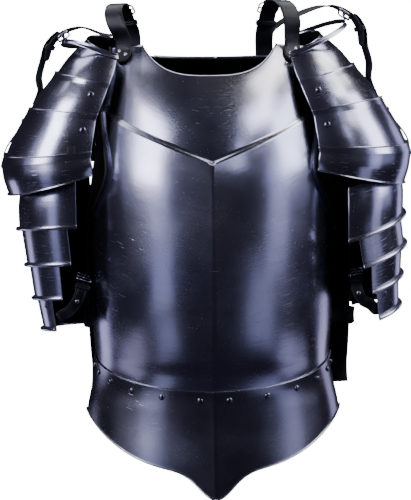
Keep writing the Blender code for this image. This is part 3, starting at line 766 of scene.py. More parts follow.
class StrapLine(NamedTuple):
    """The middle line of a strap, its width direction and its running length."""

    line: Array
    side: Array
    length: Array

    @staticmethod
    def through(points: Array, across: Array, count: int = 150) -> StrapLine:
        """A smooth line through points, with width directions made square to it.

        Args:
            points: The places it passes.
            across: Its width direction at each place.
            count: How many places are kept, crowded towards the ends.

        Returns:
            The strap line.
        """
        points, across = np.asarray(points, float), np.asarray(across, float)
        steps = running_length(points)
        even = np.linspace(0, steps[-1], count)
        end = min(0.012, steps[-1] / 8)
        near = end * (1 - np.cos(np.linspace(0, math.pi / 2, 9)))
        inside = even[(even > end) & (even < steps[-1] - end)]
        at = np.concatenate([near, inside, (steps[-1] - near)[::-1]])
        line, side = smooth(steps, points, at), smooth(steps, across, at)
        along = unit(np.gradient(line, axis=0))
        side = unit(side - along * np.sum(side * along, axis=-1, keepdims=True))
        return StrapLine(line, side, at)

    def seat(self, share: float) -> tuple[Array, Array, Array]:
        """Place, direction along and direction across at a share of the length.

        Args:
            share: Share of the length.

        Returns:
            The place and the two directions.
        """
        at = share * self.length[-1]
        index = int(np.clip(np.searchsorted(self.length, at), 2, len(self.length) - 3))
        along = unit(self.line[index + 2] - self.line[index - 2])
        across = self.side[index]
        return self.line[index], along, unit(across - along * np.dot(across, along))


@dataclass(frozen=True)
class Strap:
    """A cut strap: a softly rounded section swept along its line, with rounded ends."""

    width: float
    thick: float = LEATHER_THICK
    around: int = 28
    tongue: float = 0.55

    def patch(self, path: StrapLine) -> Patch:
        """Sweep a superellipse: half width |cos|^0.32 across and half thickness |sin|^0.55.

        Args:
            path: The strap's line.

        Returns:
            A closed strap: both ends shrink along a quarter of an ellipse to a point.
        """
        turn = np.linspace(0, 2 * math.pi, self.around + 1)
        flat = signed_power(np.cos(turn), 0.32)
        deep = signed_power(np.sin(turn), 0.55)
        reach = self.width * self.tongue
        from_end = np.minimum(path.length, path.length[-1] - path.length)
        share = np.clip(from_end / reach, 0, 1)
        taper = np.sqrt(np.clip(1 - (1 - share) ** 2, 0, 1)) ** 0.8
        thin = np.sqrt(np.clip(from_end / (self.thick * 0.5), 0, 1))
        along = unit(np.gradient(path.line, axis=0))
        normal = np.cross(path.side, along)
        half = (self.width / 2 * taper)[:, None, None] * flat[None, :, None]
        lift = (self.thick / 2 * thin)[:, None, None] * deep[None, :, None]
        points = path.line[:, None] + path.side[:, None] * half + normal[:, None] * lift
        across = self.width / 2 * np.broadcast_to(flat, points.shape[:2])
        down = np.broadcast_to(path.length[:, None], points.shape[:2])
        return Patch(points, None, np.stack([down, across], axis=-1))


def wire(
    path: Array, radius: float | Array, plane: Array, closed: bool, around: int = 14,
) -> Patch:
    """Sweep a circle along a flat path: the path plus radius (cos side + sin plane).

    Args:
        path: Points of the path, the last the same as the first if it is closed.
        radius: Radius of the wire, one or one for each point.
        plane: Normal of the plane that the path lies in.
        closed: True if the path is a ring.
        around: Faces around the wire.

    Returns:
        The wire, with its ends drawn to points if it is open.
    """
    if closed:
        ahead = np.concatenate([path[1:], path[1:2]])
        behind = np.concatenate([path[-2:-1], path[:-1]])
        along = unit(ahead - behind)
    else:
        along = unit(np.gradient(path, axis=0))
    side = unit(np.cross(along, plane))
    over = np.cross(side, along)
    radius = np.broadcast_to(np.asarray(radius, float), len(path)).copy()
    if not closed:
        path = np.concatenate([path[:1], path, path[-1:]])
        side, over = (np.concatenate([d[:1], d, d[-1:]]) for d in (side, over))
        radius = np.concatenate([[0.0], radius, [0.0]])
    turn = np.linspace(0, 2 * math.pi, around + 1)[None, :, None]
    ring = np.cos(turn) * side[:, None] + np.sin(turn) * over[:, None]
    return Patch(path[:, None] + ring * radius[:, None, None])


@dataclass(frozen=True)
class Buckle:
    """A bent-wire buckle: a rounded frame with a middle bar, and a prong hooked on the bar."""

    strap_width: float
    strap_thick: float = LEATHER_THICK
    wire_width: float = 0.0028
    long: float = 0.021
    side_room: float = 0.004
    lift: float = 0.0007
    keeper_width: float = 0.0070
    keeper_thick: float = 0.0018

    def patches(self, path: StrapLine, share: float, outside: Sequence[float]) -> list[Patch]:
        """Lay the buckle on a strap.

        Args:
            path: The strap's line.
            share: Where on its length the bar crosses it.
            outside: A direction that the strap's outer face turns to.

        Returns:
            The frame, the bar, the prong and the prong's eye.
        """
        seat, along, across = path.seat(share)
        face = np.cross(across, along)
        if np.dot(face, outside) < 0:
            face, across = -face, -across
        radius = self.wire_width / 2
        middle = seat + face * (self.strap_thick / 2 + self.lift + radius)
        half_width = self.strap_width / 2 + self.side_room - radius
        half_long = self.long / 2 - radius
        turn = np.linspace(0, 2 * math.pi, 65)
        flat = signed_power(np.cos(turn), 0.42) * half_width
        tall = signed_power(np.sin(turn), 0.42) * half_long
        ring = middle + flat[:, None] * across + tall[:, None] * along
        ring[-1] = ring[0]
        bar = middle + np.linspace(-half_width, half_width, 9)[:, None] * across
        run = np.linspace(0, 1, 16)
        reach = run * half_long * 1.04
        hump = radius * (1.55 + 0.5 * np.sin(run * math.pi) - 0.15 * run)
        prong = middle + reach[:, None] * along + hump[:, None] * face
        thin = radius * 0.78 * (1 - 0.35 * run ** 3)
        eye_turn = np.linspace(0, 2 * math.pi, 21)
        eye = middle + radius * 1.35 * (
            np.cos(eye_turn)[:, None] * along + np.sin(eye_turn)[:, None] * face)
        return [
            wire(ring, radius, face, True),
            wire(bar, radius * 0.85, face, False),
            wire(prong, thin, across, False),
            wire(eye, radius * 0.6, across, True),
        ]

    def keeper(self, path: StrapLine, share: float, layers: float) -> Patch:
        """A leather loop round the strap: a superellipse ring with a thin section.

        Args:
            path: The strap's line.
            share: Where on its length the loop is.
            layers: How many straps thick the bundle inside it is.

        Returns:
            The closed loop.
        """
        seat, along, across = path.seat(share)
        face = np.cross(across, along)
        turn = np.linspace(0, 2 * math.pi, 61)
        half = self.strap_width / 2 + 0.0019
        deep = self.strap_thick * layers / 2 + 0.0016
        flat = signed_power(np.cos(turn), 0.30) * half
        high = signed_power(np.sin(turn), 0.45) * deep
        line = seat + flat[:, None] * across + high[:, None] * face
        outer = unit((flat / half ** 2)[:, None] * across + (high / deep ** 2)[:, None] * face)
        section = np.linspace(0, 2 * math.pi, 15)
        wide = signed_power(np.cos(section), 0.4) * self.keeper_width / 2
        thick = signed_power(np.sin(section), 0.6) * self.keeper_thick / 2
        points = line[:, None] + wide[None, :, None] * along
        points = points + thick[None, :, None] * outer[:, None]
        points[-1] = points[0]
        lengths = np.broadcast_to(running_length(line)[:, None], points.shape[:2])
        flats = np.stack([lengths, np.broadcast_to(wide, points.shape[:2])], axis=-1)
        return Patch(points, None, flats)


class Section(NamedTuple):
    """One height of the torso: height, widths and depths as shares of the torso's sizes."""

    height: float
    width: float
    front: float
    back: float
    back_width: float


class Row(NamedTuple):
    """One row of a plate: heights of its edge and centre, edge angle, and how it bends."""

    edge: float
    angle: float
    centre: float
    bend: float


@dataclass(frozen=True)
class Torso:
    """The form that the body plates follow: half ellipses that change with height."""

    height: float = 0.494
    chest_width: float = 0.362
    chest_depth: float = 0.158
    back_width: float = 0.400
    back_depth: float = 0.135
    side_angle: float = math.radians(86)
    back_angle: float = math.radians(80)
    keel_height: float = 0.006
    keel_spread: float = 0.030
    sections: tuple[Section, ...] = (
        Section(-0.03, 0.830, 0.18, 0.27, 0.780),
        Section(0.00, 0.840, 0.25, 0.34, 0.800),
        Section(0.10, 0.870, 0.54, 0.64, 0.850),
        Section(0.20, 0.935, 0.75, 0.86, 0.905),
        Section(0.36, 1.000, 0.95, 1.00, 0.965),
        Section(0.52, 0.998, 1.00, 0.98, 1.000),
        Section(0.70, 0.985, 0.99, 0.86, 1.000),
        Section(0.84, 0.975, 0.93, 0.72, 0.990),
        Section(0.91, 0.960, 0.870, 0.64, 0.980),
        Section(0.96, 0.958, 0.812, 0.60, 0.970),
        Section(1.00, 0.975, 0.785, 0.59, 0.972),
        Section(1.06, 1.010, 0.800, 0.61, 0.990),
        Section(1.20, 1.065, 0.885, 0.68, 1.030),
        Section(1.34, 1.120, 0.975, 0.74, 1.070),
    )

    def share(self, column: str, height: Array) -> Array:
        """One column of the sections at heights below the shoulder line.

        Args:
            column: The column's name.
            height: Metres below the shoulder line.

        Returns:
            The column's values.
        """
        places = [section.height for section in self.sections]
        values = [getattr(section, column) for section in self.sections]
        return smooth(places, values, np.asarray(height) / self.height)

    def front(self, angle: Array, height: Array, lift: Array | float = 0.0,
              keel: float = 1.0) -> Array:
        """The front of the body: (half sin, -depth cos - keel e^(-|x| / spread), -height).

        Args:
            angle: Angle from the front centre in radians.
            height: Metres below the shoulder line.
            lift: Metres outwards.
            keel: Share of the medial ridge.

        Returns:
            Points.
        """
        half = self.chest_width / 2 * self.share("width", height) + lift
        depth = self.chest_depth * self.share("front", height) + lift
        x = half * np.sin(angle)
        ridge = keel * self.keel_height * np.exp(-np.abs(x) / self.keel_spread)
        y = -depth * np.cos(angle) - ridge
        return np.stack(np.broadcast_arrays(x, y, -np.asarray(height, float)), axis=-1)

    def back(self, angle: Array, height: Array) -> Array:
        """The back of the body: (half sin, depth cos, -height), the angle from the spine.

        Args:
            angle: Angle from the spine in radians.
            height: Metres below the shoulder line.

        Returns:
            Points.
        """
        half = self.back_width / 2 * self.share("back_width", height)
        depth = self.back_depth * self.share("back", height)
        return np.stack(np.broadcast_arrays(
            half * np.sin(angle), depth * np.cos(angle), -np.asarray(height, float)), axis=-1)

    def row_heights(self, rows: Sequence[Row], share: Array, turn: Array) -> tuple[Array, Array]:
        """Edge angle share, and height centre + (edge - centre) turn^bend, along table rows.

        Args:
            rows: The plate's table.
            share: Place down the table, counted in rows.
            turn: Share of the way round from one end to the other.

        Returns:
            The angle share and the height in metres.
        """
        index = np.arange(len(rows))
        edge, angle, centre, bend = (
            smooth(index, [getattr(row, name) for row in rows], share) for name in Row._fields)
        return angle, (centre + (edge - centre) * turn ** bend) * self.height


Surface = Callable[[Array, Array], Array]
LameLines = Callable[[int, Array], tuple[Array, int]]


def tangent_frame(surface: Surface, row: float, turn: float) -> tuple[Array, Array, Array]:
    """Point, normal (down x sideways) and sideways direction of a surface at one place.

    Args:
        surface: A function of row and turn.
        row: Its first parameter.
        turn: Its second parameter.

    Returns:
        The point and the two directions, by differences over a thousandth.
    """
    step = 0.001
    rows = np.array([row, row - step, row + step, row, row])
    turns = np.array([turn, turn, turn, turn - step, turn + step])
    point, before, after, left, right = surface(rows, turns)
    sideways = unit(right - left)
    return point, unit(np.cross(after - before, sideways)), sideways


@dataclass(frozen=True)
class Breastplate:
    """The breastplate: upper chest, bevelled V crease, lower chest with its ridge, and a flange
    under the fauld, with rolled neck and armhole edges."""

    torso: Torso
    wall: float = 0.0015
    neck_drop: float = 0.051
    neck_share: float = 0.59
    tab_drop: float = 0.003
    crease_step: float = 0.005
    crease_bevel: float = 0.007
    neck_roll: float = 0.0030
    arm_roll: float = 0.0025
    flange: float = 0.022
    armhole_end: int = 9
    rows: tuple[Row, ...] = (
        Row(0.196, 0.777, 0.358, 0.96),
        Row(0.253, 0.720, 0.392, 1.00),
        Row(0.304, 0.660, 0.426, 1.05),
        Row(0.348, 0.628, 0.460, 1.10),
        Row(0.381, 0.625, 0.495, 1.15),
        Row(0.411, 0.648, 0.530, 1.20),
        Row(0.435, 0.684, 0.565, 1.25),
        Row(0.470, 0.750, 0.605, 1.30),
        Row(0.512, 0.856, 0.650, 1.35),
        Row(0.560, 1.000, 0.700, 1.40),
        Row(0.660, 1.000, 0.780, 1.50),
        Row(0.770, 1.000, 0.870, 1.60),
        Row(0.860, 1.000, 0.945, 1.65),
        Row(0.914, 1.000, 1.000, 1.85),
    )

    def lower(self, share: Array, turn: Array) -> Array:
        """Below the crease: share counts the table's rows, turn goes from centre to edge."""
        angle, height = self.torso.row_heights(self.rows, share, turn)
        return self.torso.front(angle * self.torso.side_angle * turn, height)

    def upper(self, share: Array, turn: Array) -> Array:
        """Above the crease: from the neck curve (cubic, then the tab) down to the bevel's top.

        Args:
            share: From 0 at the neck to 1 at the crease.
            turn: Share of the way round from one end to the other.

        Returns:
            Points.
        """
        angle, crease = self.torso.row_heights(self.rows, np.zeros_like(turn), turn)
        neck = np.clip(turn / self.neck_share, 0, 1)
        tab = np.clip((turn - self.neck_share) / (1 - self.neck_share), 0, 1)
        top = self.neck_drop + (self.tab_drop - self.neck_drop) * neck ** 3 + self.tab_drop * tab
        height = top + (crease - self.crease_bevel - top) * share
        return self.torso.front(
            angle * self.torso.side_angle * turn, height, -self.crease_step * share, 0.0)

    def waist(self, turn: Array, drop: Array, lift: float = 0.0) -> Array:
        """Below the waist line by a drop: the front of the body at the waist's height + drop.

        Args:
            turn: Share of the way round from one end to the other.
            drop: Metres below the waist line.
            lift: Metres outwards.

        Returns:
            Points.
        """
        last = np.full_like(np.asarray(turn, float), len(self.rows) - 1)
        _, height = self.torso.row_heights(self.rows, last, turn)
        return self.torso.front(self.torso.side_angle * turn, height + drop, lift)

    def turns(self) -> Array:
        """Columns of the half plate, one of them where the neck curve ends."""
        neck = np.linspace(0, self.neck_share, 42)
        return np.concatenate([neck, np.linspace(self.neck_share, 1, 26)[1:]])

    def patches(self) -> list[Patch]:
        """The half plate's grid, its two rolls, and their mirror images.

        Returns:
            All patches of the plate.
        """
        turn = self.turns()
        upper_rows = np.concatenate([np.linspace(0, 0.985, 38), [1.0]])[:, None]
        bevel = np.array([0.0, 0.012])[:, None]
        lower_rows = np.concatenate([bevel.ravel(), np.linspace(0.05, len(self.rows) - 1, 150)])
        drops = np.linspace(0, self.flange, 8)[1:, None]
        upper = self.upper(upper_rows, turn[None])
        middle = (upper[-1] * 0.5 + self.lower(np.zeros(1)[:, None], turn[None])[0] * 0.5)[None]
        lower = self.lower(lower_rows[:, None], turn[None])
        body = np.concatenate([upper, middle, lower, self.waist(turn[None], drops)])
        columns = int(np.searchsorted(turn, self.neck_share)) + 1
        neck = rolled(body[0, :columns], body[1, :columns], self.neck_roll, -1)
        end = len(upper) + 1 + int(np.searchsorted(lower_rows, self.armhole_end)) + 1
        arm = rolled(body[:end, -1], body[:end, -2], self.arm_roll, 1, soften=4)
        sides = rim_wear(np.abs(running_length(body[60])[-1] - running_length(body[60])), 0.0016)
        # Painted highlight: the crease's row gets a brighter steel colour through the wear
        # attribute, standing for the light that the bevel catches.
        crease = np.exp(-np.abs(np.arange(len(body)) - len(upper)) / 0.9)[:, None] * 0.55
        wear = np.maximum(np.broadcast_to(sides, body.shape[:2]) * 0.6, crease)
        # The neck roll's high wear value brightens it: partly a rubbed edge, partly a painted
        # highlight on the roll.
        half = [Patch(body, wear),
                Patch(neck[::-1], np.full(neck.shape[:2], 0.75), None, True),
                Patch(arm.transpose(1, 0, 2), np.full(arm.shape[1::-1], 0.15))]
        return both_halves(half)

    def build(self, shop: Workshop) -> None:
        """Make the plate."""
        shop.sheet("breastplate", self.patches(), self.wall, shop.steel)

    def seat(self, share: float, out: float) -> tuple[Array, Array, Array]:
        """Point, normal and sideways direction of the upper chest at a distance sideways.

        Args:
            share: From 0 at the neck to 1 at the crease.
            out: Distance from the middle in metres.

        Returns:
            The point and the two directions.
        """
        turn = np.linspace(0, 1, 400)
        line = self.upper(np.full_like(turn, share), turn)
        return tangent_frame(self.upper, share, float(np.interp(out, line[:, 0], turn)))


@dataclass(frozen=True)
class Fauld:
    """The waist skirt: a plate over the breastplate's flange, with an ogee point and rivets."""

    breast: Breastplate
    lift: float = 0.0024
    side_drop: float = 0.080
    front_drop: float = 0.110
    curve: float = 2.7
    tip_drop: float = 0.036
    tip_width: float = 0.030
    rivet_drop: float = 0.0125
    rivet_places: tuple[float, ...] = (0.076, 0.285, 0.480, 0.670, 0.830, 0.945)

    def edge(self, turn: Array) -> Array:
        """Height of the lower outline: a power curve, plus a bell curve for the point.

        Args:
            turn: Share of the way round from one end to the other.

        Returns:
            Metres below the shoulder line.
        """
        torso, rows = self.breast.torso, self.breast.rows
        half = torso.chest_width / 2 * torso.share("width", torso.height * 1.1)
        x = half * np.sin(torso.side_angle * turn)
        side = rows[-1].edge * torso.height + self.side_drop
        front = rows[-1].centre * torso.height + self.front_drop
        plain = front - (front - side) * (x / half) ** self.curve
        return plain + self.tip_drop * np.exp(-(x / self.tip_width) ** 2)

    def build(self, shop: Workshop) -> None:
        """Make the plate and its twelve rivet heads.

        Args:
            shop: Gives the finishes and takes the pieces.
        """
        torso = self.breast.torso
        turn = np.sort(np.concatenate([np.linspace(0, 0.16, 14)[:-1], np.linspace(0.16, 1, 60)]))
        top = self.breast.waist(turn[None], np.zeros((1, 1)), self.lift)
        start, end = -top[0, :, 2], self.edge(turn)
        share = crowded(46)[:, None]
        body = torso.front(torso.side_angle * turn, start + (end - start) * share, self.lift)
        lip = rolled(body[-1], body[-2], 0.0008, -1, turn=150.0, steps=5, soften=2)[1:]
        body = np.concatenate([body, lip])
        lengths = running_length(body[:, 0])
        reach = np.minimum(lengths, np.abs(lengths[-6] - lengths))
        wear = rim_wear(reach)[:, None] * np.ones(len(turn))
        half = [Patch(body[:-5], wear[:-5]), Patch(body[-6:], wear[-6:], None, True)]
        # The fauld takes the darker steel copy, which is partly painted shade.
        shop.sheet("fauld", both_halves(half), self.breast.wall, shop.shaded_waist_steel)
        heads, flip = [], np.array([-1.0, 1.0, 1.0])
        for place in self.rivet_places:
            point, normal, _ = tangent_frame(
                lambda drop, at: self.breast.waist(at, drop, self.lift), self.rivet_drop, place)
            heads += [RivetHead().patch(point, normal),
                      RivetHead().patch(point * flip, normal * flip)]
        nodes = [f"fauld_rivet_{number}" for number in range(1, 2 * len(self.rivet_places) + 1)]
        shop.piece("fauld_rivet_heads", heads, shop.rivet, nodes)


@dataclass(frozen=True)
class Backplate:
    """The backplate: one sheet from the neck to below the waist, with a rolled neck edge."""

    torso: Torso
    wall: float = 0.0015
    shift: float = 0.011
    neck_share: float = 0.52
    neck_roll: float = 0.0030
    rows: tuple[Row, ...] = (
        Row(0.010, 0.830, 0.032, 2.60),
        Row(0.110, 0.900, 0.130, 2.20),
        Row(0.220, 0.930, 0.235, 2.00),
        Row(0.330, 0.930, 0.340, 1.80),
        Row(0.400, 0.940, 0.420, 1.60),
        Row(0.450, 0.960, 0.490, 1.50),
        Row(0.490, 0.980, 0.560, 1.40),
        Row(0.540, 1.000, 0.640, 1.40),
        Row(0.680, 1.000, 0.760, 1.40),
        Row(0.820, 1.000, 0.880, 1.40),
        Row(0.940, 1.000, 0.970, 1.40),
        Row(1.020, 1.000, 1.050, 1.40),
    )

    def surface(self, share: Array, turn: Array) -> Array:
        """The back of the body along the table's rows."""
        angle, height = self.torso.row_heights(self.rows, share, turn)
        return self.torso.back(angle * self.torso.back_angle * turn, height)

    def build(self, shop: Workshop) -> None:
        """Make the plate: the half grid and its roll, their mirror images, moved sideways.

        Args:
            shop: Gives the finishes and takes the pieces.
        """
        neck = np.linspace(0, self.neck_share, 36)
        turn = np.concatenate([neck, np.linspace(self.neck_share, 1, 30)[1:]])
        share = np.linspace(0, len(self.rows) - 1, 150)[:, None]
        body = self.surface(share, turn[None])
        roll = rolled(body[0, :36], body[1, :36], self.neck_roll, 1)
        lengths = running_length(body[:, 0])
        wear = rim_wear(lengths[-1] - lengths)[:, None] * np.ones(len(turn))
        half = [Patch(body, wear).reversed(),
                Patch(roll[::-1], np.full(roll.shape[:2], 0.7), None, True).reversed()]
        moved = [patch._replace(points=patch.points + (self.shift, 0, 0))
                 for patch in both_halves(half)]
        shop.sheet("backplate", moved, self.wall, shop.steel)

    def seat(self, wearer: Wearer, share: float, out: float) -> tuple[Array, Array, Array]:
        """Point, normal and sideways direction of the shoulder tab, for +X; mirrored later.

        Args:
            wearer: Which side.
            share: Place down the table, counted in rows.
            out: Distance from the middle in metres.

        Returns:
            The point and the two directions.
        """
        shift = self.shift * wearer.value
        turn = np.linspace(0, 1, 400)
        line = self.surface(np.full_like(turn, share), turn)
        at = float(np.interp(out - shift, line[:, 0], turn))
        point, normal, sideways = tangent_frame(self.surface, share, at)
        return point + (shift, 0, 0), normal, sideways


class Ring(NamedTuple):
    """One ring of the dome: centre, radius, half depth and level as shares, slopes, end angles."""

    out: float
    radius: float
    depth: float
    level: float
    slope: float
    pitch: float
    front: float
    rear: float

    def towards(self, other: Ring, share: float) -> Ring:
        """The ring at a share of the way to another."""
        return Ring(*(a * (1 - share) + b * share for a, b in zip(self, other)))


class Lame(NamedTuple):
    """An arm lame: radius and half depth as shares, and its rear end's angle."""

    radius: float
    depth: float
    rear: float


class Hang(NamedTuple):
    """Where an arm lame hangs: how far out, its level, and its front end's angle."""

    out: float
    level: float
    front: float


class Place(NamedTuple):
    """A place on a strap's way: out from the middle, back, and up."""

    out: float
    y: float
    z: float


@dataclass(frozen=True)
class Side:
    """How one side hangs, and the ways of its straps."""

    wearer: Wearer
    shift: float
    width: float
    drop: float
    tilt: float
    rise: float
    lean: float
    arm_slope: float
    arm_pitch: float
    hangs: tuple[Hang, ...]
    shoulder_foot: float
    shoulder_heel: float
    shoulder: tuple[Place, ...]
    billet: tuple[Place, ...]
    hanger: tuple[Place, ...]
    arm: tuple[Place, ...]
    hanger_slant: tuple[float, float, float]
    billet_slant: tuple[float, float, float]

    def turned(self, vectors: Sequence[Array]) -> list[Array]:
        """Points or directions for +X, mirrored to this side."""
        return [np.asarray(vector, float) * (self.wearer.value, 1, 1) for vector in vectors]


SIDES = (
    Side(
        wearer=Wearer.LEFT, shift=0.0, width=1.0, drop=0.0, tilt=0.0, rise=0.004, lean=0.0,
        arm_slope=0.29, arm_pitch=0.174, shoulder_foot=0.119, shoulder_heel=0.084,
        hanger_slant=(-0.32, 0.95, 0.0), billet_slant=(0.0, 0.88, 0.42),
        hangs=(
            Hang(0.204, -0.2708, 97), Hang(0.2115, -0.3139, 86), Hang(0.2145, -0.3566, 76),
            Hang(0.2205, -0.3993, 69),
        ),
        shoulder=(
            Place(0.1195, -0.032, 0.008), Place(0.12, -0.036, 0.026),
            Place(0.115, -0.029, 0.048), Place(0.104, -0.009, 0.061), Place(0.092, 0.016, 0.055),
            Place(0.0865, 0.03, 0.034), Place(0.0835, 0.0385, 0.0125),
        ),
        billet=(
            Place(0.088, 0.056, 0.012), Place(0.104, 0.055, 0.03), Place(0.13, 0.036, 0.043),
            Place(0.188, 0.011, 0.052),
        ),
        hanger=(
            Place(0.214, 0.007, 0.042), Place(0.2275, 0.008, 0.019),
            Place(0.2305, 0.011, -0.005), Place(0.237, 0.015, -0.029),
        ),
        arm=(
            Place(0.231, -0.052, -0.383), Place(0.2163, -0.058, -0.3735),
            Place(0.2094, -0.054, -0.3574), Place(0.2102, -0.042, -0.3419),
            Place(0.215, -0.015, -0.335), Place(0.221, 0.022, -0.35),
        ),
    ),
    Side(
        wearer=Wearer.RIGHT, shift=0.016, width=0.95, drop=0.0026, tilt=0.07, rise=-0.015,
        lean=-0.4, arm_slope=-0.045, arm_pitch=-0.027, shoulder_foot=0.124,
        shoulder_heel=0.112, hanger_slant=(-0.32, 0.95, 0.0), billet_slant=(0.0, 0.97, 0.20),
        hangs=(
            Hang(0.2026, -0.2640, 97), Hang(0.1980, -0.3168, 87), Hang(0.1960, -0.3664, 72),
            Hang(0.1925, -0.4122, 53),
        ),
        shoulder=(
            Place(0.1245, -0.03, 0.006), Place(0.132, -0.034, 0.022),
            Place(0.138, -0.027, 0.042), Place(0.135, -0.008, 0.057), Place(0.126, 0.016, 0.051),
            Place(0.1185, 0.03, 0.031), Place(0.113, 0.036, 0.012),
        ),
        billet=(
            Place(0.121, 0.053, 0.006), Place(0.134, 0.046, 0.0145), Place(0.156, 0.032, 0.018),
            Place(0.191, 0.01, 0.026),
        ),
        hanger=(
            Place(0.2195, 0.006, 0.0205), Place(0.237, 0.008, 0.001),
            Place(0.244, 0.011, -0.0207), Place(0.251, 0.015, -0.048),
        ),
        arm=(
            Place(0.219, -0.052, -0.3925), Place(0.206, -0.058, -0.384),
            Place(0.195, -0.062, -0.37), Place(0.188, -0.058, -0.352),
            Place(0.19, -0.026, -0.336), Place(0.195, 0.014, -0.356),
        ),
    ),
)


def down_rows(stack: Array, rows: Array, knee: int) -> Array:
    """A sheet through a stack of lines: straight before the knee, a smooth curve after it.

    Args:
        stack: Lines of points (lines, columns, 3).
        rows: Places down the stack, counted in lines.
        knee: The line where the curve starts.

    Returns:
        Points (rows, columns, 3).
    """
    index = np.arange(len(stack), dtype=float)
    curved = smooth(index[knee:], stack[knee:], np.maximum(rows, knee))
    if knee == 0:
        return curved
    cell = np.clip(rows.astype(int), 0, knee - 1)
    part = np.clip(rows - cell, 0, 1)[:, None, None]
    straight = stack[cell] * (1 - part) + stack[cell + 1] * part
    return np.where((rows < knee)[:, None, None], straight, curved)


